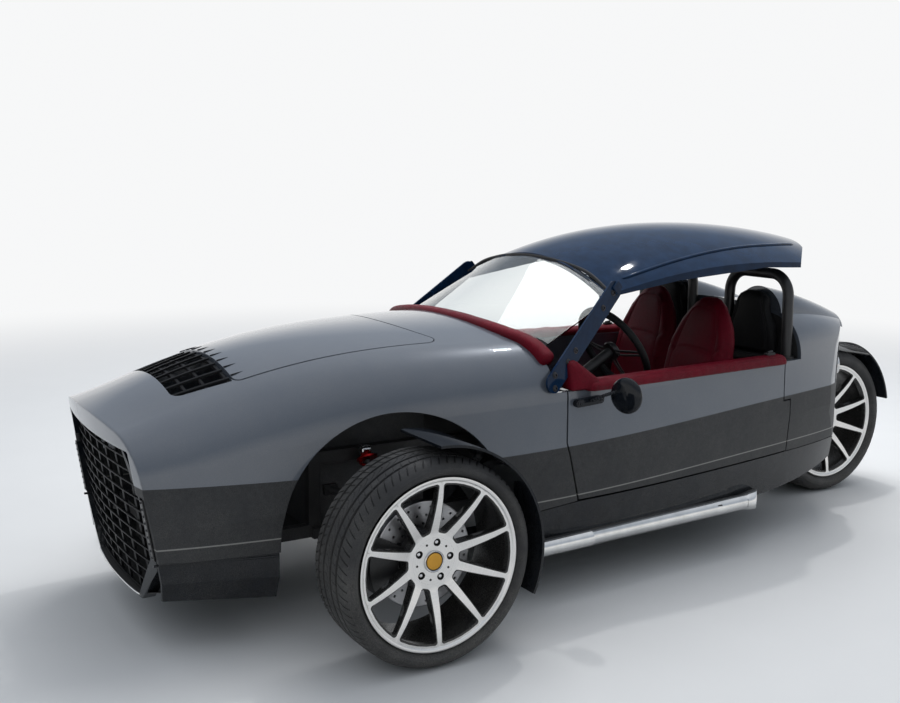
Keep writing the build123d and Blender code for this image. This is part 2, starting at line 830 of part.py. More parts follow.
# Roll hoops: one tube bent into an upside-down U behind each seat
hoop_tube = 22
hoop_outer_x = 440
hoop_inner_x = 105
hoop_top_z = 1072
hoop_bend = 88
with BuildPart() as hoop_left:
    with BuildLine() as hoop_path:
        FilletPolyline(
            (hoop_outer_x, hoop_y, door_top_z),
            (hoop_outer_x - 10, hoop_y, hoop_top_z),
            (hoop_inner_x + 10, hoop_y, hoop_top_z),
            (hoop_inner_x, hoop_y, door_top_z),
            radius=hoop_bend,
        )
    with BuildSketch(Plane(origin=hoop_path.line @ 0, z_dir=hoop_path.line % 0)):
        Circle(hoop_tube)
    sweep()
    with BuildSketch(Plane.XY.offset(door_top_z)):
        with Locations((hoop_outer_x - 3, hoop_y), (hoop_inner_x + 3, hoop_y)):
            Circle(hoop_tube + 12)
    extrude(amount=8)
    split(bisect_by=Plane.XY.offset(door_top_z), keep=Keep.TOP)
export_both(hoop_left.part, "roll_hoops")

# Headrest pads against the bulkhead
pad_depth = 60
pad_width = 184
with BuildPart() as headrest_left:
    with BuildSketch(Plane.XZ.offset(-(bulkhead_y - 1))):
        with BuildLine():
            Polyline(
                (fairing_x - 98, door_top_z + 2),
                (fairing_x + 98, door_top_z + 2),
                (fairing_x + pad_width / 2, 880),
                (fairing_x + pad_width / 2, 910),
            )
            ThreePointArc(
                (fairing_x + pad_width / 2, 910), (fairing_x, fairing_top_z - 9), (fairing_x - pad_width / 2, 910)
            )
            Polyline((fairing_x - pad_width / 2, 910), (fairing_x - pad_width / 2, 880), (fairing_x - 98, door_top_z + 2))
        make_face()
    extrude(amount=pad_depth)
    fillet(headrest_left.faces().sort_by(Axis.Y)[0].edges(), 16)
export_both(headrest_left.part, "headrests")

# Seats: a cushion and a tall back in one outline; the driver's is slid forward
seat_x = 240
seat_width = 400
with BuildPart() as seat_form:
    with BuildSketch(Plane.YZ.offset(seat_x)):
        with BuildLine():
            Polyline(
                (-560, floor_top_z + 6),
                (-580, 440),
                (-60, 400),
                (70, 985),
                (150, 985),
                (110, 640),
                (80, floor_top_z + 6),
                close=True,
            )
        make_face()
        fillet(vertices().filter_by_position(Axis.Z, 900, 1000), 38)
    extrude(amount=seat_width / 2, both=True)
    with BuildSketch(Plane.XZ.offset(700)) as back_outline:
        with BuildLine():
            Polyline(
                (seat_x - seat_width / 2, 200),
                (seat_x - seat_width / 2, 760),
            )
            ThreePointArc((seat_x - seat_width / 2, 760), (seat_x, 990), (seat_x + seat_width / 2, 760))
            Polyline(
                (seat_x + seat_width / 2, 760), (seat_x + seat_width / 2, 200), (seat_x - seat_width / 2, 200)
            )
        make_face()
    extrude(amount=-1000, mode=Mode.INTERSECT)
seat_slides = (("left", 1, front_axle_y + 1500), ("right", -1, front_axle_y + 1655))
for name, side, seat_y in seat_slides:
    seat = seat_form.part if side > 0 else mirror(seat_form.part, about=Plane.YZ)
    export(Pos(0, seat_y, 0) * seat, f"seat_{name}")

# Steering wheel and its column
steering_x = 300
steering_rim_radius = 170
steering_tube = 14
column_lean = 29.4
steering_centre = Vector(steering_x, front_axle_y + 1090, 808)
column_dir = Vector(0, cos(radians(column_lean)), sin(radians(column_lean)))
steering_plane = Plane(origin=steering_centre, x_dir=(1, 0, 0), z_dir=column_dir)
with BuildPart() as steering_wheel:
    with BuildSketch(Plane(origin=steering_centre, x_dir=column_dir, z_dir=(1, 0, 0))):
        with Locations((0, steering_rim_radius)):
            Circle(steering_tube)
    revolve(axis=Axis(steering_centre, column_dir))
    with BuildSketch(steering_plane.offset(-16)):
        Circle(38)
    extrude(amount=22)
    with BuildSketch(steering_plane.offset(-9)):
        with PolarLocations(0, 3, start_angle=-90):
            with Locations((steering_rim_radius / 2 + 6, 0)):
                Rectangle(steering_rim_radius - 20, 34)
    extrude(amount=7)
export(steering_wheel.part, "steering_wheel")
column_length = (steering_centre.Y - firewall_y - 30) / cos(radians(column_lean))
with BuildPart() as steering_column:
    with BuildSketch(steering_plane.offset(-22)):
        Circle(20)
    extrude(amount=-column_length)
    add(dashboard.part, mode=Mode.SUBTRACT)
    add(firewall.part, mode=Mode.SUBTRACT)
export(steering_column.part, "steering_column")

# Exhaust pipes, one along each sill, with a slanted tip
pipe_radius = 34
pipe_height = 205
pipe_front = Vector(612, front_axle_y + 520, pipe_height)
pipe_rear = Vector(548, front_axle_y + 1680, pipe_height + 2)
pipe_dir = (pipe_rear - pipe_front).normalized()
with BuildPart() as exhaust_left:
    with BuildSketch(Plane(origin=pipe_front, z_dir=pipe_dir)):
        Circle(pipe_radius)
    extrude(amount=(pipe_rear - pipe_front).length)
    with BuildSketch(Plane(origin=pipe_rear - 90 * pipe_dir, z_dir=pipe_dir)):
        Circle(pipe_radius + 4)
    extrude(amount=110)
    with BuildSketch(Plane(origin=pipe_rear - 70 * pipe_dir, z_dir=pipe_dir)):
        Circle(pipe_radius - 2)
    extrude(amount=120, mode=Mode.SUBTRACT)
    for stay_y in (front_axle_y + 700, front_axle_y + 1400):
        with Locations((540, stay_y, pipe_height + 14)):
            Box(110, 24, 12)
    add(sill_left.part, mode=Mode.SUBTRACT)
exhaust_solid = exhaust_left.part.solids().sort_by(SortBy.VOLUME)[-1]
export_both(exhaust_solid, "exhaust_pipes")

# Wheels, made about their own axis with the open face towards +Z
seat_radius = rim_radius - 12
barrel_radius = seat_radius - 12
cap_radius = 30
lug_hole_radius = 11
lug_depth = 20


def make_tyre(radius, width):
    """A low tyre on its rim, closed inside."""
    half = width / 2
    with BuildPart() as tyre:
        with BuildSketch(Plane.XZ):
            with BuildLine():
                Polyline(
                    (rim_radius, -half + 18), (seat_radius, -half + 18), (seat_radius, half - 18), (rim_radius, half - 18)
                )
                ThreePointArc((rim_radius, half - 18), ((rim_radius + radius) / 2, half), (radius - 12, half - 14))
                ThreePointArc((radius - 12, half - 14), (radius - 4, half - 24), (radius - 1, half - 40))
                ThreePointArc((radius - 1, half - 40), (radius, 0), (radius - 1, -half + 40))
                ThreePointArc((radius - 1, -half + 40), (radius - 4, -half + 24), (radius - 12, -half + 14))
                ThreePointArc((radius - 12, -half + 14), ((rim_radius + radius) / 2, -half), (rim_radius, -half + 18))
            make_face()
        revolve(axis=Axis.Z)
    return tyre.part


window_low = 84
window_high = 247
window_corner = 7
spoke_half_low = 13.5
spoke_half_high = 7.5
spoke_depth = 20


def window_sketch():
    """One opening between two spokes, along +X: a rounded wedge that is narrow at the hub."""
    low_angle = pi / spokes - asin(spoke_half_low / window_low)
    high_angle = pi / spokes - asin(spoke_half_high / window_high)
    low = (window_low * cos(low_angle), window_low * sin(low_angle))
    high = (window_high * cos(high_angle), window_high * sin(high_angle))
    with BuildSketch() as window:
        with BuildLine():
            Line((low[0], -low[1]), (high[0], -high[1]))
            ThreePointArc((high[0], -high[1]), (window_high, 0), high)
            Line(high, low)
            ThreePointArc(low, (low[0] - low[1] * 0.8, 0), (low[0], -low[1]))
        make_face()
        fillet(window.vertices().group_by(Axis.X)[-1], window_corner)
    return window.sketch


def make_rim(width):
    """Rim barrel and a face that is dished in to the hub, cut by one window between each two spokes."""
    half = width / 2 - 12
    face = half - 6
    pad = face - rim_dish
    face_edge = barrel_radius + 2
    with BuildPart() as rim:
        with BuildSketch(Plane.XZ):
            with BuildLine():
                Polyline(
                    (barrel_radius, -half),
                    (rim_radius, -half),
                    (rim_radius, -half + 6),
                    (seat_radius, -half + 6),
                    (seat_radius, half - 6),
                    (rim_radius, half - 6),
                    (rim_radius, half),
                    (barrel_radius + 8, half),
                    (barrel_radius, half - 12),
                    close=True,
                )
            make_face()
        revolve(axis=Axis.Z)
        with BuildSketch(Plane.XZ):
            with BuildLine():
                Polyline(
                    (0, pad + 4), (cap_radius, pad + 4), (cap_radius, pad - 6), (cap_radius + 4, pad - 6),
                    (cap_radius + 4, pad), (hub_radius, pad),
                )
                ThreePointArc(
                    (hub_radius, pad), ((hub_radius + face_edge) / 2, face - rim_dish * 0.36), (face_edge, face)
                )
                Polyline(
                    (face_edge, face), (face_edge, face - spoke_depth), (hub_radius, pad - hub_pad), (0, pad - hub_pad),
                    (0, pad + 4),
                )
            make_face()
        revolve(axis=Axis.Z)
        with BuildSketch(Plane.XY.offset(pad - hub_pad - 10)):
            with PolarLocations(0, spokes, start_angle=180 / spokes):
                add(window_sketch())
        extrude(amount=rim_dish + hub_pad + 30, mode=Mode.SUBTRACT)
        with BuildSketch(Plane.XY.offset(pad)):
            with PolarLocations(lug_circle, lugs):
                Circle(lug_hole_radius)
        extrude(amount=-lug_depth, mode=Mode.SUBTRACT)
    return rim.part


def make_disc():
    """Brake disc and hub with its spindle bore."""
    with BuildPart() as disc:
        with BuildSketch(Plane.XY.offset(disc_offset)):
            Circle(disc_radius)
        extrude(amount=disc_thickness)
        with BuildSketch(Plane.XY.offset(disc_offset + disc_thickness)):
            Circle(hub_radius)
        extrude(amount=hub_depth)
        with BuildSketch(Plane.XY.offset(disc_offset)):
            Circle(spindle_radius + 1)
        extrude(amount=40, mode=Mode.SUBTRACT)
    return disc.part


def place_wheel(shape, x, y, z, side):
    """Puts a wheel piece on its axle, its open face to that side."""
    return Plane(origin=(x, y, z), x_dir=(0, 1, 0), z_dir=(side, 0, 0)).location * shape


spindle_radius = 17
disc_offset = -34
front_face = front_tyre_width / 2 - 18
rear_face = rear_tyre_width / 2 - 18
hub_depth = front_face - rim_dish - hub_pad - (disc_offset + disc_thickness)
front_tyre = make_tyre(front_tyre_radius, front_tyre_width)
front_rim = make_rim(front_tyre_width)
front_disc = make_disc()
for name, side in (("left", 1), ("right", -1)):
    for stem, shape in (("tyre", front_tyre), ("rim", front_rim), ("brake_disc", front_disc)):
        export(place_wheel(shape, side * wheel_x, front_axle_y, front_tyre_radius, side), f"{stem}_front_{name}")

# Knuckle on the kingpin: upright, spindle into the hub, caliper bracket and fender stay
ball_rise = 112
upright_half = ball_rise - 24
knuckle_x = kingpin_x
front_fender_radius = front_tyre_radius + fender_clearance
stay_gap = 6
stay_thickness = 8
stay_hub_radius = 34
stay_x = wheel_x - front_tyre_width / 2 - stay_gap
with BuildPart() as knuckle_left:
    with BuildSketch(Plane.YZ.offset(stay_x)):
        with Locations((front_axle_y, front_tyre_radius)):
            Circle(stay_hub_radius - 4)
    extrude(amount=knuckle_x - stay_x)
    with Locations((knuckle_x, front_axle_y, front_tyre_radius)):
        Box(40, 70, 2 * upright_half)
    with BuildSketch(Plane.YZ.offset(knuckle_x)):
        with Locations((front_axle_y, front_tyre_radius)):
            Circle(spindle_radius)
    extrude(amount=wheel_x - knuckle_x + disc_offset + 36)
    for height in (front_tyre_radius - upright_half, front_tyre_radius + upright_half):
        with Locations((knuckle_x, front_axle_y, height)):
            Cylinder(8.5, 60, mode=Mode.SUBTRACT)

# Caliper across the disc, on the front side of the axle
caliper_half = 38
caliper_angle = 28
caliper_inner = disc_radius - 66
caliper_outer = disc_radius + 26
with BuildPart() as caliper_left:
    caliper_plane = Plane(
        origin=(wheel_x + disc_offset + disc_thickness / 2, front_axle_y, front_tyre_radius),
        x_dir=(0, -1, 0),
        z_dir=(1, 0, 0),
    )
    with BuildSketch(caliper_plane.offset(-caliper_half)):
        with BuildLine():
            for radius in (caliper_inner, caliper_outer):
                CenterArc((0, 0), radius, -caliper_angle, 2 * caliper_angle)
            for angle in (-caliper_angle, caliper_angle):
                PolarLine(
                    (caliper_inner * cos(radians(angle)), caliper_inner * sin(radians(angle))),
                    caliper_outer - caliper_inner,
                    angle,
                )
        make_face()
    extrude(amount=2 * caliper_half)
    with BuildSketch(caliper_plane.offset(-disc_thickness / 2 - 3)):
        Circle(disc_radius + 6)
    extrude(amount=disc_thickness + 6, mode=Mode.SUBTRACT)
with BuildPart() as knuckle_arm:
    with Locations((knuckle_x + 8, front_axle_y - 70, front_tyre_radius)):
        Box(24, 110, 44)
    add(caliper_left.part, mode=Mode.SUBTRACT)
with BuildPart() as knuckle_whole:
    add(knuckle_left.part)
    add(knuckle_arm.part.solids().sort_by(Axis.Y)[-1])
export_pair(caliper_left.part, "caliper")
export_pair(knuckle_whole.part, "knuckle")

# Cycle fender over the rear upper part of each front tyre, on a stay to the knuckle
fender_from, fender_to = -24, 92
fender_half = front_tyre_width / 2
stay_angles = (0, 42)
with BuildPart() as front_fender_left:
    fender_plane = Plane(origin=(wheel_x, front_axle_y, front_tyre_radius), x_dir=(0, 1, 0), z_dir=(1, 0, 0))
    with BuildSketch(fender_plane.offset(-fender_half)):
        with BuildLine():
            for radius in (front_fender_radius, front_fender_radius + fender_thickness):
                CenterArc((0, 0), radius, fender_from, fender_to - fender_from)
            for angle in (fender_from, fender_to):
                PolarLine(
                    (front_fender_radius * cos(radians(angle)), front_fender_radius * sin(radians(angle))),
                    fender_thickness,
                    angle,
                )
        make_face()
    extrude(amount=2 * fender_half)
    extrude(front_fender_left.faces().sort_by(Axis.X)[0], amount=stay_gap + stay_thickness)
    with BuildSketch(fender_plane.offset(-fender_half - stay_gap - stay_thickness)):
        Circle(stay_hub_radius)
        for angle in stay_angles:
            with Locations(Location((0, 0), angle)):
                with Locations((front_fender_radius / 2 + 4, 0)):
                    Rectangle(front_fender_radius, 26)
    extrude(amount=stay_thickness)
export_pair(front_fender_left.part, "front_fender")


def rod(start, end, radius):
    """A straight round rod between two points."""
    along = Vector(*end) - Vector(*start)
    with BuildPart() as bar:
        with BuildSketch(Plane(origin=start, z_dir=along)):
            Circle(radius)
        extrude(amount=along.length)
    return bar.part


# Upper and lower arms: two tubes from the frame meet at a ball whose stud is the kingpin
rail_face_x = rail_x + rail_width
arm_rows = (
    ("upper", front_tyre_radius + ball_rise, 440, 120, -1),
    ("lower", front_tyre_radius - ball_rise, 300, 160, 1),
)
with BuildPart() as front_arms_left:
    for _, ball_z, root_z, spread, towards in arm_rows:
        for root_y in (front_axle_y - spread, front_axle_y + spread):
            add(rod((rail_face_x + 8, root_y, root_z), (knuckle_x, front_axle_y, ball_z), 12))
            with Locations((rail_face_x + 10, root_y, root_z)):
                Box(20, 44, 34)
        with Locations((knuckle_x, front_axle_y, ball_z)):
            Sphere(19)
        with Locations((knuckle_x, front_axle_y, ball_z + towards * 28)):
            Cylinder(8, 40)
export_both(front_arms_left.part, "front_arms")

# Coil-over damper from the lower arm up to the frame
damper_foot = (560, front_axle_y, 262)
damper_head = (rail_face_x + 22, front_axle_y, 560)
with BuildPart() as damper_left:
    add(rod(damper_foot, damper_head, 14))
    damper_dir = (Vector(*damper_head) - Vector(*damper_foot)).normalized()
    for turn in range(9):
        with BuildSketch(Plane(origin=Vector(*damper_foot) + (70 + 24 * turn) * damper_dir, z_dir=damper_dir)):
            Circle(36)
        extrude(amount=10)
    with Locations((rail_face_x + 11, front_axle_y, 560)):
        Box(22, 50, 50)
    add(front_arms_left.part, mode=Mode.SUBTRACT)

# Rear wheel, its open face to the left
rear_tyre = make_tyre(rear_tyre_radius, rear_tyre_width)
rear_rim = make_rim(rear_tyre_width)
with BuildPart() as rear_disc:
    with BuildSketch(Plane.XY.offset(-rear_tyre_width / 2 + 30)):
        Circle(disc_radius)
    extrude(amount=20)
    with BuildSketch(Plane.XY.offset(-rear_tyre_width / 2 + 50)):
        Circle(hub_radius)
    extrude(amount=rear_face - rim_dish - hub_pad + rear_tyre_width / 2 - 50)
    with BuildSketch(Plane.XY.offset(-rear_tyre_width / 2 + 30)):
        Circle(spindle_radius + 6)
    extrude(amount=90, mode=Mode.SUBTRACT)
for stem, shape in (("tyre_rear", rear_tyre), ("rim_rear", rear_rim), ("brake_disc_rear", rear_disc.part)):
    export(place_wheel(shape, 0, rear_axle_y, rear_tyre_radius, 1), stem)

# Single-sided swing arm on the right, from the chassis pivot to the axle
with BuildPart() as swing_arm:
    with BuildSketch(Plane.YZ.offset(-swing_pivot_half)):
        with BuildLine():
            Polyline(
                (swing_pivot_y, swing_pivot_z + swing_pivot_radius),
                (rear_axle_y - 30, rear_tyre_radius + 58),
                (rear_axle_y + 48, rear_tyre_radius + 26),
                (rear_axle_y + 48, rear_tyre_radius - 30),
                (rear_axle_y - 20, rear_tyre_radius - 50),
                (swing_pivot_y, swing_pivot_z - swing_pivot_radius),
                close=True,
            )
        make_face()
    extrude(amount=swing_thickness)
    with BuildSketch(Plane.YZ.offset(-swing_pivot_half)):
        with Locations((swing_pivot_y, swing_pivot_z)):
            Circle(swing_pivot_radius)
    extrude(amount=2 * swing_pivot_half)
    with BuildSketch(Plane.YZ.offset(swing_x)):
        with Locations((rear_axle_y, rear_tyre_radius)):
            Circle(spindle_radius + 5)
    extrude(amount=100)
export(swing_arm.part, "swing_arm")

# Rear fender over the wheel, carried by a plate on the swing arm
with BuildPart() as rear_fender:
    rear_plane = Plane(origin=(0, rear_axle_y, rear_tyre_radius), x_dir=(0, 1, 0), z_dir=(1, 0, 0))
    with BuildSketch(rear_plane.offset(-rear_tyre_width / 2 - 6)):
        with BuildLine():
            for radius in (rear_fender_radius - fender_thickness, rear_fender_radius):
                CenterArc((0, 0), radius, rear_fender_end, 118 - rear_fender_end)
            for angle in (rear_fender_end, 118):
                PolarLine(
                    (
                        (rear_fender_radius - fender_thickness) * cos(radians(angle)),
                        (rear_fender_radius - fender_thickness) * sin(radians(angle)),
                    ),
                    fender_thickness,
                    angle,
                )
        make_face()
    extrude(amount=rear_tyre_width + 12)
    extrude(rear_fender.faces().sort_by(Axis.X)[0], amount=16)
    with BuildSketch(rear_plane.offset(-rear_tyre_width / 2 - 22)):
        with Locations(Location((0, 0), 74)):
            with Locations((rear_fender_radius / 2 + 24, 0)):
                Rectangle(rear_fender_radius - 60, 40)
    extrude(amount=8)
    add(swing_arm.part, mode=Mode.SUBTRACT)
export(rear_fender.part, "rear_fender")

with BuildPart() as rear_damper:
    add(rod((swing_x + 40, rear_axle_y - 430, 382), (swing_x + 80, rear_axle_y - 470, 640), 26))
    add(swing_arm.part, mode=Mode.SUBTRACT)
with BuildPart() as dampers:
    add(damper_left.part)
    mirror(about=Plane.YZ)
    add(rear_damper.part)
export(dampers.part, "dampers")

# Round tail lamps on the tail's round end, one each side of the wheel
lamp_x = 262
lamp_z = 640
lamp_radius = 40
lamp_depth = 16
with BuildPart() as tail_lamps:
    for side in (-1, 1):
        lamp_reach = sqrt(tail_bow_radius**2 - lamp_x**2)
        with BuildSketch(
            Plane(
                origin=(side * lamp_x, tail_y - tail_bow_radius + lamp_reach, lamp_z),
                z_dir=(side * lamp_x, lamp_reach, 0),
            ).offset(-6)
        ):
            Circle(lamp_radius)
        extrude(amount=6 + lamp_depth)
    add(tail_plan(0), mode=Mode.SUBTRACT)
export(tail_lamps.part, "tail_lamps")
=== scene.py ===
"""Finishes and fine pieces for a three-wheeled car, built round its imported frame. Metres, forward is -Y."""
from math import cos, pi, radians, sin, tan

import bmesh
import bpy
import numpy as np
from bpy.props import FloatProperty, FloatVectorProperty, IntProperty, PointerProperty
from mathutils import Matrix, Vector
from mathutils.bvhtree import BVHTree


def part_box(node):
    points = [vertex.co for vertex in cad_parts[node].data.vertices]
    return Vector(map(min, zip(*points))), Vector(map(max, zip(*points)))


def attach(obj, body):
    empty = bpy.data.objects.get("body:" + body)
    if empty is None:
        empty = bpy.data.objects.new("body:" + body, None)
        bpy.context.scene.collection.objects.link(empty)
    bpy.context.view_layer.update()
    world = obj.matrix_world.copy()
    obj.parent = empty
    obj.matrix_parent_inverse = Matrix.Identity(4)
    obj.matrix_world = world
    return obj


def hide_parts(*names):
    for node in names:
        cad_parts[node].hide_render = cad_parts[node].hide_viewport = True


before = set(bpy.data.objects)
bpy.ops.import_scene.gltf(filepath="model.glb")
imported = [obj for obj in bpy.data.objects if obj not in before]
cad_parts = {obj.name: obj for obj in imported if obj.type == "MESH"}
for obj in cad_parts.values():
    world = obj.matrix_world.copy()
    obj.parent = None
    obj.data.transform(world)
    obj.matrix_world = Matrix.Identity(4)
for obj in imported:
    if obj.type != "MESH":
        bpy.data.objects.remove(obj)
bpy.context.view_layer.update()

bl_info = {
    "name": "Three-wheeled car finishes",
    "version": (1, 0, 0),
    "blender": (4, 5, 0),
    "location": "3D View > Sidebar > Car",
    "description": "Builds the finishes and fine pieces of a three-wheeled car round its frame",
    "category": "Object",
}


# Places read from the frame


def middle(node):
    """Centre of a CAD node's box."""
    low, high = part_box(node)
    return np.array((low + high) / 2)


def size_of(node):
    """Size of a CAD node's box."""
    low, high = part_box(node)
    return np.array(high - low)


FRONT_Y = middle("tyre_front_left")[1]
NOSE_BOW = 2.54
NOSE_LEAN = radians(8.5)
NOSE_TOP = 0.68
NOSE_Y = FRONT_Y - 0.805
SIDES = (("left", 1), ("right", -1))


# Sizes and colours that a user would change


def colour(name, default, text):
    """A colour setting."""
    return FloatVectorProperty(
        name=name, subtype="COLOR", size=4, min=0, max=1, default=(*default, 1), description=text
    )


class CarColours(bpy.types.PropertyGroup):
    """Colours of the car's finishes."""

    upper: colour("Upper paint", (0.100, 0.114, 0.138), "Metallic paint of the upper body")
    band: colour("Lower band", (0.036, 0.037, 0.039), "Satin paint of the lower body")
    stripe: colour("Stripe", (0.26, 0.255, 0.24), "Thin line along the lower band")
    gloss_black: colour("Gloss black", (0.0045, 0.006, 0.009), "Sills, skirts and fenders")
    # The roof and its plates are gloss black; the deep blue of this colour is a painted reflection of a blue
    # sky.
    roof: colour("Roof lacquer", (0.005, 0.018, 0.046), "Deep blue lacquer of the roof and its plates")
    red_hide: colour("Red hide", (0.15, 0.003, 0.013), "Seats and rolls of padding")
    black_hide: colour("Black hide", (0.013, 0.013, 0.014), "Headrests and steering wheel")
    rubber: colour("Rubber", (0.018, 0.018, 0.019), "Tyres and seals")
    alloy: colour("Machined alloy", (0.80, 0.79, 0.77), "Turned faces of the wheels")
    gold: colour("Cap centre", (0.62, 0.33, 0.055), "Plain centres of the wheel caps")
    floor: colour("Floor", (0.68, 0.68, 0.675), "Studio floor")


class CarSizes(bpy.types.PropertyGroup):
    """Sizes of the pieces that are added to the frame."""

    tread_depth: FloatProperty(
        name="Tread depth", unit="LENGTH", min=0, default=0.0065, precision=4,
        description="Depth of the main grooves of the tyres",
    )
    tread_pitches: IntProperty(
        name="Tread pitches", min=20, max=120, default=74, description="Blocks round a tyre"
    )
    spokes: IntProperty(name="Spokes", min=5, max=20, default=10, description="Spokes of a wheel")
    lens: FloatProperty(
        name="Lens", min=10, max=200, default=43.78, description="Focal length in millimetres"
    )


# Surfaces as whole arrays


def ease(low, high, x):
    """Smooth step: 0 below low, 1 above high, and 3t^2 - 2t^3 between them."""
    t = np.clip((x - low) / (high - low), 0, 1)
    return t * t * (3 - 2 * t)


def unit(vectors):
    """A vector, or each row of an array of them, at length 1."""
    vectors = np.asarray(vectors, float)
    return vectors / np.linalg.norm(vectors, axis=-1, keepdims=True)


def reach_along(path):
    """Distance from the start of a path to each of its points."""
    return np.concatenate([[0], np.cumsum(np.linalg.norm(np.diff(path, axis=0), axis=1))])


def walk(path, distances):
    """The points of a path at some distances along it."""
    reach = reach_along(path)
    return np.stack([np.interp(distances, reach, path[:, i]) for i in range(3)], -1)


def evenly(points, count):
    """A path through points with straight runs, divided into equal steps."""
    points = np.asarray(points, float)
    return walk(points, np.linspace(0, reach_along(points)[-1], count))


def curve_through(points, count):
    """A smooth path: cubic interpolation in chord length through a few named points."""
    points = np.asarray(points, float)
    steps = reach_along(points)
    slopes = np.gradient(points, steps, axis=0)
    t = np.linspace(0, steps[-1], count)
    i = np.clip(np.searchsorted(steps, t, side="right") - 1, 0, len(steps) - 2)
    h = (steps[i + 1] - steps[i])[:, None]
    s = ((t - steps[i]) / h[:, 0])[:, None]
    return (
        (2 * s**3 - 3 * s**2 + 1) * points[i]
        + (s**3 - 2 * s**2 + s) * h * slopes[i]
        + (3 * s**2 - 2 * s**3) * points[i + 1]
        + (s**3 - s**2) * h * slopes[i + 1]
    )


def grid(points, wrap_u=False, wrap_v=False, flip=False, finish=0):
    """Vertices, quads and finish number of a surface given as an array of points in rows and columns."""
    points = np.asarray(points, float)
    rows, columns = points.shape[:2]
    u, v = np.meshgrid(
        np.arange(rows if wrap_u else rows - 1), np.arange(columns if wrap_v else columns - 1), indexing="ij"
    )
    next_u, next_v = (u + 1) % rows, (v + 1) % columns
    quads = np.stack(
        [u * columns + v, next_u * columns + v, next_u * columns + next_v, u * columns + next_v], -1
    ).reshape(-1, 4)
    return points.reshape(-1, 3), quads[:, ::-1] if flip else quads, finish


def lathe(profile, count, finish=0):
    """A surface of revolution about X: each profile point (x, r) is carried round a circle of radius r."""
    profile = np.asarray(profile, float)
    angle = np.linspace(0, 2 * pi, count, endpoint=False)[:, None]
    x, r = profile[:, 0][None], profile[:, 1][None]
    points = np.stack([x + 0 * angle, r * np.cos(angle), r * np.sin(angle)], -1)
    return grid(points, wrap_u=True, finish=finish)


def facing(direction):
    """The turn that takes +X to a direction."""
    return Vector(direction).to_track_quat("X", "Z").to_matrix()


def placed(part, origin, turn=None):
    """A part turned by a matrix and then moved to its origin."""
    points, quads, finish = part
    if turn is not None:
        points = points @ np.array(turn).T
    return points + np.asarray(origin, float), quads, finish


def spun(profile, count, at, direction, finish=0):
    """A lathe profile set on a point, its axle along a direction."""
    return placed(lathe(profile, count, finish), at, facing(direction))


def scaled(rows, radius):
    """A profile from rows of (x, share of a radius)."""
    return [(x, share * radius) for x, share in rows]


def carry(path, section, up=(0, 0, 1), scale=1.0, finish=0):
    """A profile carried along a path: a point is path + s * side + t * upward, for section points (s, t)."""
    path, section = np.asarray(path, float), np.asarray(section, float)
    along = unit(np.gradient(path, axis=0))
    side = unit(np.cross(along, up))
    upward = np.cross(side, along)
    scale = np.broadcast_to(np.asarray(scale, float), (len(path),))[:, None, None]
    s, t = section[None, :, :1], section[None, :, 1:]
    points = path[:, None] + scale * s * side[:, None] + scale * t * upward[:, None]
    return grid(points, wrap_v=True, finish=finish)


def ring_section(radius, sides, radius_t=None):
    """A circle or ellipse as section points."""
    angle = np.linspace(0, 2 * pi, sides, endpoint=False)
    return np.stack([radius * np.cos(angle), (radius_t or radius) * np.sin(angle)], -1)


def tube(path, radius, sides=10, up=(0, 0, 1), finish=0):
    """A round bar along a path, with ends drawn in to a point so that it is closed."""
    path = np.asarray(path, float)
    path = np.concatenate([path[:1], path, path[-1:]])
    scale = np.ones(len(path))
    scale[[0, -1]] = 1e-4
    path[0] += (path[1] - path[2]) * 1e-3
    path[-1] += (path[-2] - path[-3]) * 1e-3
    return carry(path, ring_section(radius, sides), up, scale, finish)


def rounded_loop(corners, radii, count):
    """A polygon with round corners as a closed loop: count points from one corner's middle to the next."""
    corners = np.asarray(corners, float)
    loops = []
    for i in range(len(corners)):
        start, end = corners[i], corners[(i + 1) % len(corners)]
        before, after = corners[i - 1], corners[(i + 2) % len(corners)]
        arcs = []
        for at, towards, other, radius in (
            (start, end, before, radii[i]), (end, start, after, radii[(i + 1) % len(corners)]),
        ):
            u, w = unit(towards - at), unit(other - at)
            half_turn = np.arccos(np.clip(u @ w, -1, 1)) / 2
            centre = at + unit(u + w) * radius / sin(half_turn)
            touch = at + u * radius / tan(half_turn)
            mid = at + unit(u + w) * (radius / sin(half_turn) - radius)
            arc = mid + (touch - mid) * np.linspace(0, 1, count // 3 + 1)[:, None]
            arcs.append(centre + unit(arc - centre) * radius)
        opening, closing = arcs[0], arcs[1][::-1]
        straight = np.linspace(0, 1, count - 2 * (count // 3) + 1)[1:-1, None]
        line = opening[-1] + (closing[0] - opening[-1]) * straight
        loops.append(np.concatenate([opening, line, closing[:-1]]))
    return np.concatenate(loops)


def rounded_box(half_s, half_t, radius, count):
    """A rectangle with round corners about its middle, as a loop."""
    corners = [(-half_s, -half_t), (half_s, -half_t), (half_s, half_t), (-half_s, half_t)]
    return rounded_loop(corners, [radius] * 4, count)


def stacked(outline, rows, origin, u, v, w, finish=0):
    """An outline repeated along w, for rows of (scale, rise): origin + scale * (s u + t v) + rise * w."""
    rings = [origin + scale * (outline[:, :1] * u + outline[:, 1:] * v) + rise * w for scale, rise in rows]
    return grid(rings, wrap_v=True, finish=finish)


def mirrored(part):
    """The mirror image of a part in the car's centre plane, its faces turned round again."""
    points, quads, finish = part
    return points * (-1, 1, 1), quads[:, ::-1], finish


def both_sides(parts):
    """Parts and their mirror images."""
    return parts + [mirrored(part) for part in parts]


MATERIALS = {}
WELD = 2e-5


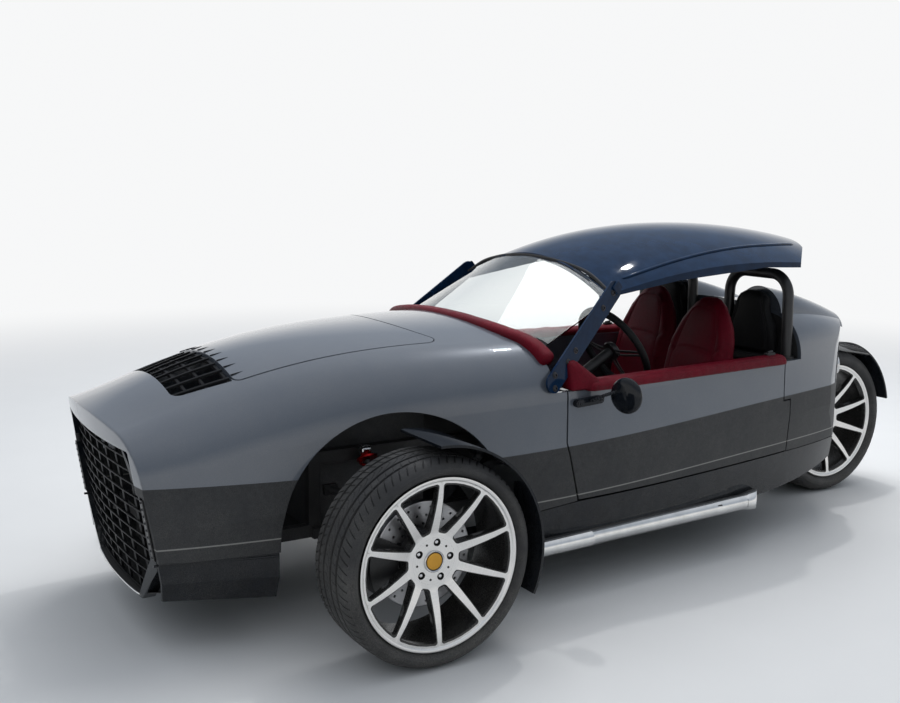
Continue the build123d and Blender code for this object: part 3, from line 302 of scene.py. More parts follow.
def piece(name, parts, finishes, body, sharp=38):
    """Joins parts into one object with its materials, welds seams and poles, and rides it on a body."""
    counts = np.cumsum([0] + [len(part[0]) for part in parts[:-1]])
    points = np.concatenate([part[0] for part in parts]).astype(np.float32)
    quads = np.concatenate([part[1] + start for part, start in zip(parts, counts)])
    numbers = np.concatenate([np.full(len(part[1]), part[2], np.int32) for part in parts])
    mesh = bpy.data.meshes.new(name)
    mesh.vertices.add(len(points))
    mesh.vertices.foreach_set("co", points.ravel())
    mesh.loops.add(quads.size)
    mesh.loops.foreach_set("vertex_index", quads.astype(np.int32).ravel())
    mesh.polygons.add(len(quads))
    mesh.polygons.foreach_set("loop_start", np.arange(0, quads.size, 4, dtype=np.int32))
    mesh.polygons.foreach_set("material_index", numbers)
    mesh.update(calc_edges=True)
    shape = bmesh.new()
    shape.from_mesh(mesh)
    bmesh.ops.remove_doubles(shape, verts=shape.verts, dist=WELD)
    bmesh.ops.dissolve_degenerate(shape, edges=shape.edges, dist=WELD / 4)
    bmesh.ops.recalc_face_normals(shape, faces=shape.faces)
    shape.to_mesh(mesh)
    shape.free()
    mesh.polygons.foreach_set("use_smooth", np.ones(len(mesh.polygons), bool))
    mesh.set_sharp_from_angle(angle=radians(sharp))
    for finish in finishes:
        mesh.materials.append(MATERIALS[finish])
    made = bpy.data.objects.new(name, mesh)
    bpy.context.scene.collection.objects.link(made)
    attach(made, body)
    return made


# Shader nodes


def plug(tree, socket, value):
    """Links an output to a socket, or sets the socket's own value."""
    if isinstance(value, bpy.types.NodeSocket):
        tree.links.new(value, socket)
    else:
        socket.default_value = value


def step(tree, kind, inputs=None, out=0, **settings):
    """Adds one shader node with its settings and inputs, and gives its output."""
    node = tree.nodes.new("ShaderNode" + kind)
    for name, value in settings.items():
        setattr(node, name, value)
    for key, value in (inputs or {}).items():
        plug(tree, node.inputs[key], value)
    return node.outputs[out]


def calc(tree, operation, *values, clamp=False):
    """One Math node."""
    return step(tree, "Math", dict(enumerate(values)), operation=operation, use_clamp=clamp)


def vector_calc(tree, operation, inputs, out=0):
    """One Vector Math node."""
    return step(tree, "VectorMath", inputs, out, operation=operation)


def blend(tree, factor, first, second):
    """Mixes two colours."""
    return step(tree, "Mix", {0: factor, 6: first, 7: second}, out=2, data_type="RGBA")


def between(tree, factor, first, second):
    """Mixes two numbers."""
    return step(tree, "Mix", {0: factor, 2: first, 3: second}, out=0, data_type="FLOAT")


def where_on(tree):
    """Object coordinates."""
    return step(tree, "TexCoord", out="Object")


def ramp(tree, value, low, high):
    """0 where value is below low, 1 above high."""
    return step(tree, "MapRange", {0: value, 1: low, 2: high, 3: 0.0, 4: 1.0})


def noise(tree, where, scale, detail, rough=0.5, out=0):
    """Noise in space."""
    inputs = {"Vector": where, "Scale": scale, "Detail": detail, "Roughness": rough}
    return step(tree, "TexNoise", inputs, out)


def build_grain(tree, given, result):
    """Fine uneven height, and a mask of its patches."""
    coarse = noise(tree, where_on(tree), given["Scale"], 4.0, 0.6)
    plug(tree, result["Height"], coarse)
    plug(tree, result["Mask"], ramp(tree, coarse, 0.35, 0.68))


def build_dust(tree, given, result):
    """Dust that gathers low down and in cloudy patches."""
    where = where_on(tree)
    height = step(tree, "SeparateXYZ", {0: where}, out=2)
    low = calc(tree, "SUBTRACT", 1.0, ramp(tree, height, given["Floor"], given["Top"]))
    clouds = calc(tree, "ADD", noise(tree, where, 7.0, 6.0, 0.62), calc(tree, "MULTIPLY", low, 0.35))
    specks = ramp(tree, noise(tree, where, 420.0, 2.0), 0.35, 0.7)
    patches = calc(tree, "MULTIPLY", ramp(tree, clouds, 0.42, 0.95), specks)
    plug(tree, result["Mask"], calc(tree, "MULTIPLY", patches, given["Amount"], clamp=True))


def build_hide(tree, given, result):
    """Leather: irregular pebbles between creases, from cell edges, with fine pores."""
    where = where_on(tree)
    bent = vector_calc(tree, "SCALE", {0: noise(tree, where, 30.0, 3.0, out=1), 3: 0.012})
    shifted = vector_calc(tree, "ADD", {0: where, 1: bent})
    cells = step(
        tree, "TexVoronoi", {"Vector": shifted, "Scale": given["Scale"]}, feature="DISTANCE_TO_EDGE"
    )
    creases = ramp(tree, cells, 0.0, 0.16)
    pores = calc(tree, "MULTIPLY", noise(tree, where, 900.0, 1.0), 0.25)
    plug(tree, result["Height"], calc(tree, "ADD", creases, pores))
    plug(tree, result["Creases"], creases)
    plug(tree, result["Mottle"], ramp(tree, noise(tree, where, 11.0, 5.0), 0.3, 0.72))


def build_turned(tree, given, result):
    """Lathe marks: fine and broad lines at equal distance from an axle along X through Centre."""
    offset = vector_calc(tree, "SUBTRACT", {0: where_on(tree), 1: given["Centre"]})
    flat = vector_calc(tree, "MULTIPLY", {0: offset, 1: (0.0, 1.0, 1.0)})
    radius = vector_calc(tree, "LENGTH", {0: flat}, "Value")
    for label, lines in (("Height", 2600.0), ("Mask", 260.0)):
        inputs = {"W": calc(tree, "MULTIPLY", radius, lines), "Scale": 1.0}
        plug(tree, result[label], step(tree, "TexNoise", inputs, noise_dimensions="1D"))


def build_flake(tree, given, result):
    """Metal flakes in paint: tiny cells, each with its own brightness, and a slow drift of tone."""
    where = where_on(tree)
    cells = step(tree, "TexVoronoi", {"Vector": where, "Scale": 2400.0}, out=1)
    spark = calc(tree, "MULTIPLY", step(tree, "SeparateXYZ", {0: cells}), 0.22)
    drift = calc(tree, "MULTIPLY", noise(tree, where, 1.7, 2.0), 0.16)
    plug(tree, result["Tone"], calc(tree, "ADD", calc(tree, "ADD", spark, drift), 0.81))
    plug(tree, result["Height"], noise(tree, where, 55.0, 1.0))


# Shared effects: inputs as (label, kind, value), outputs by label, and what builds them
GROUPS = {
    "Grain": ([("Scale", "Float", 400.0)], ("Height", "Mask"), build_grain),
    "Dust": (
        [("Floor", "Float", 0.0), ("Top", "Float", 0.5), ("Amount", "Float", 0.5)], ("Mask",), build_dust,
    ),
    "Hide": ([("Scale", "Float", 260.0)], ("Height", "Creases", "Mottle"), build_hide),
    "Turned": ([("Centre", "Vector", (0, 0, 0))], ("Height", "Mask"), build_turned),
    "Flake": ([], ("Tone", "Height"), build_flake),
}


def make_group(name):
    """Makes the node group of a shared effect."""
    inputs, outputs, build = GROUPS[name]
    tree = bpy.data.node_groups.new(name, "ShaderNodeTree")
    for label, kind, value in inputs:
        socket = tree.interface.new_socket(label, in_out="INPUT", socket_type="NodeSocket" + kind)
        socket.default_value = value
    for label in outputs:
        tree.interface.new_socket(label, in_out="OUTPUT", socket_type="NodeSocketFloat")
    start, end = tree.nodes.new("NodeGroupInput"), tree.nodes.new("NodeGroupOutput")
    build(tree, start.outputs, end.inputs)


def effect(tree, name, *outs, **inputs):
    """Places a shared effect in a material, its group made the first time, and gives the named outputs."""
    if name not in bpy.data.node_groups:
        make_group(name)
    node = tree.nodes.new("ShaderNodeGroup")
    node.node_tree = bpy.data.node_groups[name]
    for label, value in inputs.items():
        plug(tree, node.inputs[label], value)
    found = [node.outputs[label] for label in outs]
    return found if len(found) > 1 else found[0]


# Finishes

# Height of the band's top edge and of the stripe, as z = a + b y + c y^2 + d y^3, and of the skirt,
# as z = a + b y
BAND_LINE = (0.56369, 0.04685, -0.00057, -0.01118)
STRIPE_LINE = (0.37955, 0.03755, -0.00266, -0.01000)
STRIPE_HALF = 0.0022
SKIRT_LINE = (0.2440, -0.0350)
DUST_TINT = (0.33, 0.31, 0.27, 1.0)
BACKDROP = (0.93, 0.935, 0.94, 1.0)
DARK = (0.0, 0.0, 0.0, 1.0)
GLASS_TINT = (0.93, 0.97, 0.955, 1.0)
MIRROR_TINT = (0.85, 0.87, 0.88, 1.0)
DISC_TINT = (0.42, 0.42, 0.43)

# Plastics and coats: name, tint, roughness, grain scale, grain depth, dust, specular level
PLASTICS = (
    ("satin_black", (0.014, 0.014, 0.015), 0.4, 520.0, 0.0002, 0.1, 0.5),
    ("moulded_black", (0.016, 0.016, 0.017), 0.62, 260.0, 0.0005, 0.1, 0.5),
    ("mesh_black", (0.004, 0.004, 0.005), 0.5, 520.0, 0.0002, 0.02, 0.18),
    ("alloy_dark", (0.006, 0.006, 0.007), 0.26, 500.0, 0.0001, 0.2, 0.5),
    ("cast_metal", (0.055, 0.056, 0.06), 0.55, 320.0, 0.0006, 0.3, 0.5),
    ("seal_rubber", (0.012, 0.012, 0.013), 0.6, 700.0, 0.0002, 0.1, 0.5),
    ("red_thread", (0.16, 0.012, 0.02), 0.6, 2400.0, 0.0003, 0.1, 0.5),
    ("black_thread", (0.03, 0.03, 0.032), 0.6, 2400.0, 0.0003, 0.1, 0.5),
    ("white_mark", (0.7, 0.7, 0.68), 0.5, 520.0, 0.0002, 0.1, 0.5),
)

# Bare metals: name, tint, roughness, grain scale, grain depth, dust
METALS = (
    ("red_metal", (0.42, 0.012, 0.014), 0.32, 300.0, 0.00015, 0.08),
    ("chrome", (0.78, 0.78, 0.77), 0.07, 40.0, 0.00006, 0.1),
    ("bright_metal", (0.68, 0.68, 0.68), 0.2, 300.0, 0.00015, 0.08),
    ("brown_metal", (0.34, 0.27, 0.22), 0.28, 90.0, 0.00015, 0.08),
    ("dark_screws", (0.05, 0.05, 0.055), 0.34, 400.0, 0.00015, 0.08),
    ("disc_steel", DISC_TINT, 0.34, 300.0, 0.00015, 0.08),
)

# Which finish each CAD node keeps
NODE_FINISHES = {
    "two_tone_paint": "front_body hood door_left door_right rear_body",
    "gloss_black": "sills front_fender_left front_fender_right rear_fender door_mirror_left "
    "door_mirror_right grille_surround",
    "roof_black_with_painted_sky": "roof windshield_plates",
    "satin_black": "roll_hoops front_frame front_arms knuckle_left knuckle_right caliper_left caliper_right "
    "steering_column",
    "moulded_black": "tub dashboard radiator",
    "mesh_black": "hood_vent grille_mesh",
    "cast_metal": "engine swing_arm",
    "red_metal": "dampers",
    "chrome": "exhaust_pipes",
    "clear_glass": "windshield",
    "lamp_clear": "headlamps",
    "lamp_red": "tail_lamps",
    "disc_steel": "brake_disc_front_left brake_disc_front_right brake_disc_rear",
    "tyre_rubber": "tyre_front_left tyre_front_right tyre_rear",
    "alloy_dark": "rim_front_left rim_front_right rim_rear",
    "red_hide": "seat_left seat_right door_bolster_left door_bolster_right",
    "black_hide": "headrests steering_wheel",
}


def material(name, **sockets):
    """A new material with its Principled shader's own sockets set; gives the tree and the shader."""
    made = bpy.data.materials.new(name)
    made.use_nodes = True
    MATERIALS[name] = made
    shader = made.node_tree.nodes["Principled BSDF"]
    for label, value in sockets.items():
        shader.inputs[label.replace("_", " ")].default_value = value
    return made.node_tree, shader


def bump(tree, shader, height, distance, strength=1.0, rounding=None):
    """Feeds a height into the shader's normal, over edges rounded by a radius if one is given."""
    inputs = {"Height": height, "Distance": distance, "Strength": strength}
    if rounding is not None:
        inputs["Normal"] = step(tree, "Bevel", {"Radius": rounding}, samples=6)
    plug(tree, shader.inputs["Normal"], step(tree, "Bump", inputs))


def shade(value, factor=1.0):
    """A colour with its alpha, made darker or lighter."""
    return (*(min(1.0, channel * factor) for channel in value[:3]), 1.0)


def dusted(tree, shader, colour_under, floor, top, amount):
    """Lays dust over a colour, between two heights, and makes that the base colour."""
    dust = effect(tree, "Dust", "Mask", Floor=floor, Top=top, Amount=amount)
    plug(tree, shader.inputs["Base Color"], blend(tree, dust, colour_under, DUST_TINT))


def worked(tree, shader, mask, rough, height, depth, strength=1.0):
    """Roughness between two values by a mask, and a bump."""
    plug(tree, shader.inputs["Roughness"], between(tree, mask, *rough))
    bump(tree, shader, height, depth, strength)


def line_height(tree, y, line):
    """The height of a line along the body at y."""
    height = line[-1]
    for factor in reversed(line[:-1]):
        height = calc(tree, "ADD", factor, calc(tree, "MULTIPLY", y, height))
    return height


def make_paint(colours):
    """Body paint: gloss metallic above the band line, satin with a thin stripe below, black at the skirt."""
    tree, shader = material("two_tone_paint", Coat_Roughness=0.03, IOR=1.45, Specular_IOR_Level=0.25)
    where = step(tree, "SeparateXYZ", {0: where_on(tree)}).node.outputs
    y, z = where[1], where[2]
    upper = calc(tree, "GREATER_THAN", calc(tree, "SUBTRACT", z, line_height(tree, y, BAND_LINE)), 0.0)
    away = calc(tree, "ABSOLUTE", calc(tree, "SUBTRACT", z, line_height(tree, y, STRIPE_LINE)))
    stripe = calc(tree, "LESS_THAN", away, STRIPE_HALF)
    below = calc(tree, "LESS_THAN", z, line_height(tree, y, SKIRT_LINE))
    skirt = calc(tree, "MULTIPLY", below, calc(tree, "LESS_THAN", y, FRONT_Y))
    tone, peel = effect(tree, "Flake", "Tone", "Height")
    gloss = step(tree, "HueSaturation", {"Color": tuple(colours.upper), "Value": tone})
    satin = effect(tree, "Grain", "Mask", Scale=60.0)
    matt = blend(tree, satin, shade(colours.band, 0.9), shade(colours.band, 1.12))
    matt = blend(tree, stripe, matt, colours.stripe)
    shown = blend(tree, skirt, blend(tree, upper, matt, gloss), colours.gloss_black)
    dusted(tree, shader, shown, 0.2, 0.9, 0.16)
    plug(tree, shader.inputs["Metallic"], between(tree, upper, 0.0, 0.25))
    plug(tree, shader.inputs["Roughness"], between(tree, skirt, between(tree, upper, 0.5, 0.34), 0.08))
    plug(tree, shader.inputs["Coat Weight"], between(tree, upper, 0.0, 1.0))
    nose = ramp(tree, y, NOSE_Y + 0.16, NOSE_Y + 0.12)
    bump(tree, shader, peel, 0.00012, 1.0, between(tree, nose, 0.0025, 0.014))


def make_lacquer(name, tint, dusty, level):
    """Deep lacquer with faint haze and dust low down."""
    tree, shader = material(name, IOR=1.45, Specular_IOR_Level=level)
    haze, height = effect(tree, "Grain", "Mask", "Height", Scale=18.0)
    dusted(tree, shader, blend(tree, haze, shade(tint), shade(tint, 1.5)), 0.05, 0.7, dusty)
    worked(tree, shader, haze, (0.03, 0.07), height, 0.0002)


def make_hide(name, tint, scale, rough):
    """Leather with pebbled grain and mottled colour, its roughness varying with the mottle, and painted shade
    darkening the creases of the grain.
    """
    tree, shader = material(name, IOR=1.42, Specular_IOR_Level=0.16)
    height, creases, mottle = effect(tree, "Hide", "Height", "Creases", "Mottle", Scale=scale)
    worn = blend(tree, mottle, shade(tint, 0.78), shade(tint, 1.22))
    # The creases of the grain are darkened to 0.45 of the tint: painted shade.
    plug(tree, shader.inputs["Base Color"], blend(tree, creases, shade(tint, 0.45), worn))
    worked(tree, shader, mottle, (rough, rough + 0.1), height, 0.0005, 0.7)


def make_plastic(name, tint, rough, scale, depth, dusty, level):
    """Moulded plastic or coated metal with fine grain and a little dust."""
    tree, shader = material(name, IOR=1.46, Specular_IOR_Level=level)
    mask, height = effect(tree, "Grain", "Mask", "Height", Scale=scale)
    patches = effect(tree, "Grain", "Mask", Scale=9.0)
    dusted(tree, shader, blend(tree, patches, shade(tint, 0.8), shade(tint, 1.25)), 0.1, 0.9, dusty)
    worked(tree, shader, mask, (rough - 0.06, rough + 0.08), height, depth)


def make_metal(name, tint, rough, scale, depth, dusty):
    """Bare or plated metal with cloudy tone, fine pitting and dust."""
    tree, shader = material(name, Metallic=1.0)
    mask, height = effect(tree, "Grain", "Mask", "Height", Scale=scale)
    patches = effect(tree, "Grain", "Mask", Scale=14.0)
    dusted(tree, shader, blend(tree, patches, shade(tint, 0.82), shade(tint)), 0.05, 0.8, dusty)
    worked(tree, shader, mask, (rough * 0.8, rough * 1.3), height, depth)


def make_turned(name, tint, rough, centre):
    """Lathe-turned metal about one wheel's axle."""
    tree, shader = material(name, Metallic=1.0)
    lines, broad = effect(tree, "Turned", "Height", "Mask", Centre=tuple(centre))
    dusted(tree, shader, blend(tree, broad, shade(tint, 0.86), shade(tint)), 0.05, 0.8, 0.12)
    worked(tree, shader, lines, (rough * 0.75, rough * 1.35), lines, 0.00006)


def make_rubber(tint):
    """Tyre rubber: grey bloom, dust in patches and a fine grain."""
    tree, shader = material("tyre_rubber", IOR=1.5)
    mask, height = effect(tree, "Grain", "Mask", "Height", Scale=700.0)
    bloom = effect(tree, "Grain", "Mask", Scale=16.0)
    dusted(tree, shader, blend(tree, bloom, shade(tint, 0.8), shade(tint, 1.5)), 0.0, 0.55, 0.34)
    worked(tree, shader, mask, (0.62, 0.82), height, 0.00025)


def make_glass():
    """Clear safety glass with a faint green tint."""
    tree, shader = material(
        "clear_glass", Base_Color=GLASS_TINT, Transmission_Weight=1.0, IOR=1.45, Roughness=0.0
    )
    smear = effect(tree, "Grain", "Mask", Scale=5.0)
    plug(tree, shader.inputs["Base Color"], blend(tree, smear, GLASS_TINT, (0.96, 0.985, 0.975, 1)))


def make_lens(name, tint):
    """Lamp lens: clear coloured plastic with fluted relief."""
    tree, shader = material(name, IOR=1.5, Coat_Weight=1.0, Coat_Roughness=0.03, Roughness=0.12)
    sideways = step(tree, "SeparateXYZ", {0: where_on(tree)})
    patches = effect(tree, "Grain", "Mask", Scale=30.0)
    plug(tree, shader.inputs["Base Color"], blend(tree, patches, shade(tint, 0.75), shade(tint)))
    bump(tree, shader, calc(tree, "SINE", calc(tree, "MULTIPLY", sideways, 240.0)), 0.0006)


def make_mirror():
    """Silvered mirror glass with a trace of dust."""
    tree, shader = material("mirror_glass", Metallic=1.0, Roughness=0.02, Base_Color=MIRROR_TINT)
    dusted(tree, shader, MIRROR_TINT, 0.3, 1.2, 0.06)


# Wheels: CAD name, body, and the side that the open face looks to
WHEELS = (
    ("front_left", "wheel_front_left", 1),
    ("front_right", "wheel_front_right", -1),
    ("rear", "wheel_rear", 1),
)


class CAR_OT_finishes(bpy.types.Operator):
    """Make every material and give the frame's own nodes theirs."""

    bl_idname = "car.finishes"
    bl_label = "Finishes"
    bl_options = {"REGISTER", "UNDO"}

    def execute(self, context):
        """Materials first, then each CAD node's slots."""
        colours = context.scene.car_colours
        make_paint(colours)
        make_lacquer("gloss_black", colours.gloss_black, 0.14, 0.32)
        # Black lacquer tinted deep blue as a painted reflection of a blue sky, for the roof, its plates,
        # rails and bracket saddles.
        make_lacquer("roof_black_with_painted_sky", colours.roof, 0.05, 0.14)
        make_hide("red_hide", colours.red_hide, 230.0, 0.42)
        make_hide("black_hide", colours.black_hide, 250.0, 0.44)
        for row in PLASTICS:
            make_plastic(*row)
        for row in METALS:
            make_metal(*row)
        make_metal("gold_cap", colours.gold, 0.4, 500.0, 0.00015, 0.08)
        for name, _, _ in WHEELS:
            make_turned("alloy_face_" + name, colours.alloy, 0.3, middle("tyre_" + name))
            make_turned("disc_steel_" + name, DISC_TINT, 0.34, middle("tyre_" + name))
        make_rubber(colours.rubber)
        make_glass()
        make_lens("lamp_clear", (0.6, 0.62, 0.66))
        make_lens("lamp_red", (0.42, 0.006, 0.008))
        make_mirror()
        for finish, nodes in NODE_FINISHES.items():
            for node in nodes.split():
                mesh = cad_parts[node].data
                mesh.materials.clear()
                mesh.materials.append(MATERIALS[finish])
        return {"FINISHED"}


# Stage: lamps as name, place, what they look at, size and power; only the small one shows in gloss
LAMPS = (
    ("lamp_top", (-1.4, 1.2, 5.2), (0, 0, 0.5), 4.0, 190.0),
    ("lamp_fill", (4.5, -4.5, 3.2), (0, -0.3, 0.5), 3.0, 18.0),
    ("lamp_back", (-4.5, 3.0, 3.6), (0, 0.3, 0.6), 2.5, 50.0),
    ("lamp_small", (-1.2, 2.2, 5.6), (0, 0, 0.5), 0.16, 55.0),
)
LARGEST_SHOWN_LAMP = 1.0
FLOOR_HALF = 40.0
CAMERA_AT = (3.4865, FRONT_Y - 1.5843, 1.4512)
CAMERA_HEADING, CAMERA_DIP, CAMERA_ROLL = radians(58.60), radians(9.14), radians(0.78)


def seen_rays(tree):
    """1 for rays that show the background: from the camera, off glossy surfaces and through glass."""
    camera, glossy, through = (
        step(tree, "LightPath", out="Is " + kind + " Ray") for kind in ("Camera", "Glossy", "Transmission")
    )
    return calc(tree, "MAXIMUM", calc(tree, "MAXIMUM", camera, glossy), through)


def linked(name, data):
    """A new object in the scene."""
    made = bpy.data.objects.new(name, data)
    bpy.context.scene.collection.objects.link(made)
    return made


class CAR_OT_stage(bpy.types.Operator):
    """Floor, backdrop, lamps and the camera at the photograph's place."""

    bl_idname = "car.stage"
    bl_label = "Stage"
    bl_options = {"REGISTER", "UNDO"}

    def execute(self, context):
        """A wide pale floor that fades to white, a soft sky that darkens to its rim, and soft lamps."""
        floor_tint = context.scene.car_colours.floor
        tree, shader = material("studio_floor", Roughness=0.9, Specular_IOR_Level=0.0, Emission_Strength=1.0)
        pale = effect(tree, "Grain", "Mask", Scale=3.0)
        near = blend(tree, pale, shade(floor_tint, 0.985), floor_tint)
        flat = vector_calc(tree, "MULTIPLY", {0: where_on(tree), 1: (1.0, 1.0, 0.0)})
        distance = vector_calc(tree, "LENGTH", {0: flat}, "Value")
        far = step(tree, "MapRange", {0: distance, 1: 3.2, 2: 8.5}, interpolation_type="SMOOTHSTEP")
        plug(tree, shader.inputs["Base Color"], blend(tree, far, near, DARK))
        glow = calc(tree, "MULTIPLY", far, seen_rays(tree))
        plug(tree, shader.inputs["Emission Color"], blend(tree, glow, DARK, BACKDROP))
        mesh = bpy.data.meshes.new("studio_floor")
        corners = [(FLOOR_HALF * x, FLOOR_HALF * y, 0) for x, y in ((-1, -1), (1, -1), (1, 1), (-1, 1))]
        mesh.from_pydata(corners, [], [(0, 1, 2, 3)])
        mesh.materials.append(MATERIALS["studio_floor"])
        floor = linked("studio_floor", mesh)

        world = bpy.data.worlds.new("studio_sky")
        context.scene.world = world
        world.use_nodes = True
        sky = world.node_tree
        up = step(sky, "SeparateXYZ", {0: step(sky, "TexCoord", out="Generated")}, out=2)
        upper = blend(sky, ramp(sky, up, 0.45, 0.95), (0.42, 0.47, 0.54, 1), (0.78, 0.82, 0.88, 1))
        lit = blend(sky, ramp(sky, up, 0.12, 0.42), (0.10, 0.12, 0.115, 1), upper)
        shown = blend(sky, ramp(sky, up, 0.16, 0.42), BACKDROP, upper)
        background = sky.nodes["Background"]
        plug(sky, background.inputs["Color"], blend(sky, seen_rays(sky), lit, shown))
        background.inputs["Strength"].default_value = 1.0

        for name, stands_at, look_at, size, power in LAMPS:
            light = bpy.data.lights.new(name, "AREA")
            light.size = size
            light.energy = power
            lamp = linked(name, light)
            lamp.visible_glossy = size < LARGEST_SHOWN_LAMP
            lamp.location = stands_at
            lamp.rotation_mode = "QUATERNION"
            lamp.rotation_quaternion = (Vector(look_at) - Vector(stands_at)).to_track_quat("-Z", "Y")

        view = bpy.data.cameras.new("view_from_photo")
        view.sensor_width = 36.0
        view.lens = context.scene.car_sizes.lens
        camera = linked("view_from_photo", view)
        camera.matrix_world = (
            Matrix.Translation(CAMERA_AT)
            @ Matrix.Rotation(CAMERA_HEADING, 4, "Z")
            @ Matrix.Rotation(pi / 2 - CAMERA_DIP, 4, "X")
            @ Matrix.Rotation(CAMERA_ROLL, 4, "Z")
        )
        context.scene.camera = camera
        context.scene.view_settings.view_transform = "Standard"
        return {"FINISHED"}


# Tyres: a lathe profile whose tread rows are cut by grooves round and across

GROOVES = np.array([-0.5, -0.19, 0.19, 0.5])
GROOVE_HALF = 0.0045
GROOVE_SLOPE = 0.001
# Steps of one tread pitch, as shares of it: the cut across lies at CUT_AT
PITCH_STEPS = np.array([0, 0.17, 0.36, 0.40, 0.52, 0.56, 0.78])
CUT_AT, CUT_HALF = 0.46, 0.07
WALL_ROWS = 15


def tyre_parts(radius, width, rim_radius, depth, pitches):
    """Tyre: angle = 2 pi (i + s) / pitches + shear(x); radius = profile(x) - depth where a groove runs."""
    half = width / 2
    edge = half - 0.012
    seat_r = rim_radius - 0.002
    shoulder_x = 0.66 * half
    grooves = GROOVES * half
    rows = [-edge, -edge + 0.006, -edge + 0.02, -shoulder_x, shoulder_x, edge - 0.02, edge - 0.006, edge]
    reaches = (GROOVE_HALF, GROOVE_HALF + GROOVE_SLOPE)
    for centre in grooves:
        rows += [centre + side * reach for side in (-1, 1) for reach in reaches]
    rows += [centre + 0.16 * half for centre in grooves[:-1]]
    x = np.sort(np.array(rows))
    crown = radius - 0.0045 * (x / edge) ** 2 - 0.009 * ease(edge - 0.02, edge + 0.002, np.abs(x)) ** 2
    phase = (np.arange(pitches)[:, None] + PITCH_STEPS[None]).ravel() / pitches
    shear = 0.30 * np.abs(x / half) ** 1.5 + 0.10 * np.sign(x) * (np.abs(x) < 0.5 * half)
    angle = 2 * pi * (phase[:, None] + shear[None] / pitches * 6)
    shoulder = ease(0.56 * half, 0.60 * half, np.abs(x))
    rib = (np.abs(x) < 0.46 * half) & (np.abs(np.abs(x) - 0.19 * half) > 0.012)
    cut_across = (np.abs(np.tile(PITCH_STEPS, pitches) - CUT_AT) < CUT_HALF)[:, None]
    cut_round = (np.abs(x[:, None] - grooves[None]) <= GROOVE_HALF + 1e-6).any(1)
    fall = np.maximum(cut_across * (0.72 * shoulder[None] + 0.42 * rib[None]), cut_round[None] * 1.0) * depth
    r = crown[None] - fall
    tread = np.stack([np.broadcast_to(x, r.shape), r * np.cos(angle), r * np.sin(angle)], -1)
    parts = [grid(tread, wrap_u=True)]

    lift = np.linspace(0, 1, WALL_ROWS)
    wall_r = crown[0] + (seat_r - crown[0]) * lift
    wall_x = edge + (half - edge + 0.001) * np.sin(pi * np.clip(lift * 1.12, 0, 1)) ** 0.8
    wall_x = wall_x - 0.011 * ease(0.55, 1.0, lift)
    wall_x += 0.0011 * (np.abs(lift - 0.30) < 0.03) + 0.0014 * (np.abs(lift - 0.86) < 0.04)
    for side, end in ((1, -1), (-1, 0)):
        round_angle = angle[:, end, None]
        wall = [side * np.broadcast_to(wall_x, (len(phase), WALL_ROWS)), wall_r * np.cos(round_angle),
                wall_r * np.sin(round_angle)]
        parts.append(grid(np.stack(wall, -1), wrap_u=True, flip=side < 0))
    well_r = rim_radius - 0.013
    inner = [(edge - 0.011, seat_r), (edge - 0.03, well_r), (-edge + 0.03, well_r), (-edge + 0.011, seat_r)]
    parts.append(lathe(inner, len(phase)))
    return parts


# Wheels: ten sectors, each a plate between its edge and the rounded window in it

HUB_R, WINDOW_LOW, WINDOW_HIGH, RING_R = 0.072, 0.086, 0.2475, 0.2535
DISH = 0.040
CAP_R = 0.034
LUGS, LUG_CIRCLE, LUG_HOLE = 5, 0.0572, 0.0118
# Profiles of the hub's pieces as (x from the hub's face, r)
LUG_FLOOR = ((-0.022, 0.0), (-0.022, LUG_HOLE), (-0.0215, LUG_HOLE))
LUG_NUT = ((-0.024, 0.0085), (-0.006, 0.0085), (-0.0035, 0.0072), (-0.001, 0.0045), (0.0, 0.0))
HUB_DOT = ((0.0, 0.0), (0.0009, 0.0036), (-0.001, 0.004))
CAP_PROFILES = (
    # finish number, then its profile
    (3, ((0.0, CAP_R), (0.0045, 0.0335), (0.006, 0.0315), (0.0045, 0.0288))),
    (1, ((0.0045, 0.0288), (0.0015, 0.0283), (0.0015, 0.0262), (0.0040, 0.0258))),
    (2, ((0.0040, 0.0258), (0.0052, 0.0245), (0.0060, 0.014), (0.0063, 0.0))),
    (1, ((-0.034, CAP_R), (-0.034, 0.0))),
)


def sector_edge(half_angle, low, high, count):
    """The straight-sided loop round a sector between two radii, with count points on each side."""
    corners = np.array([(-half_angle * low, low), (half_angle * low, low), (half_angle * high, high),
                        (-half_angle * high, high)])
    t = np.linspace(0, 1, count, endpoint=False)[:, None]
    return np.concatenate([corners[i] + (corners[(i + 1) % 4] - corners[i]) * t for i in range(4)])


def round_hole(radius, at_r, count):
    """A round hole in a sector as a loop that starts at its lower left."""
    angle = np.linspace(0, 2 * pi, count, endpoint=False) - 3 * pi / 4
    return np.stack([radius * np.cos(angle), at_r + radius * np.sin(angle)], -1)


def around(flat, depth, turn):
    """Points (s, r, x) bent round the axle: the angle is s / r + turn, and x runs along the axle."""
    s, r = flat[..., 0], flat[..., 1]
    angle = s / r + turn
    return np.stack([depth, r * np.sin(angle), r * np.cos(angle)], -1)


def level(value):
    """A depth or thickness that is the same at every radius."""
    return lambda r: np.full(np.shape(r), value)


def plate_with_window(window, edge, depth_of, thickness, bevel, turn, wall=1, rows=5):
    """Face between edge and window, a bevel, the window's wall and the back face, all bent round the axle."""
    t = np.linspace(0, 1, rows)[:, None, None]
    inner = window.mean(0) + (window - window.mean(0)) * (1 - bevel / 0.03)
    lip = depth_of(window[:, 1])
    back = lip - thickness(window[:, 1])
    face_flat = edge[None] * (1 - t) + window[None] * t
    back_flat = edge[None] * (1 - t) + inner[None] * t
    front = around(face_flat, depth_of(face_flat[..., 1]), turn)
    walls = [around(window, lip, turn), around(inner, lip - bevel, turn), around(inner, back, turn)]
    rear = around(back_flat, depth_of(back_flat[..., 1]) - thickness(back_flat[..., 1]), turn)
    return [
        grid(front, wrap_v=True),
        grid(walls, wrap_v=True, finish=wall),
        grid(rear, wrap_v=True, finish=wall, flip=True),
    ]


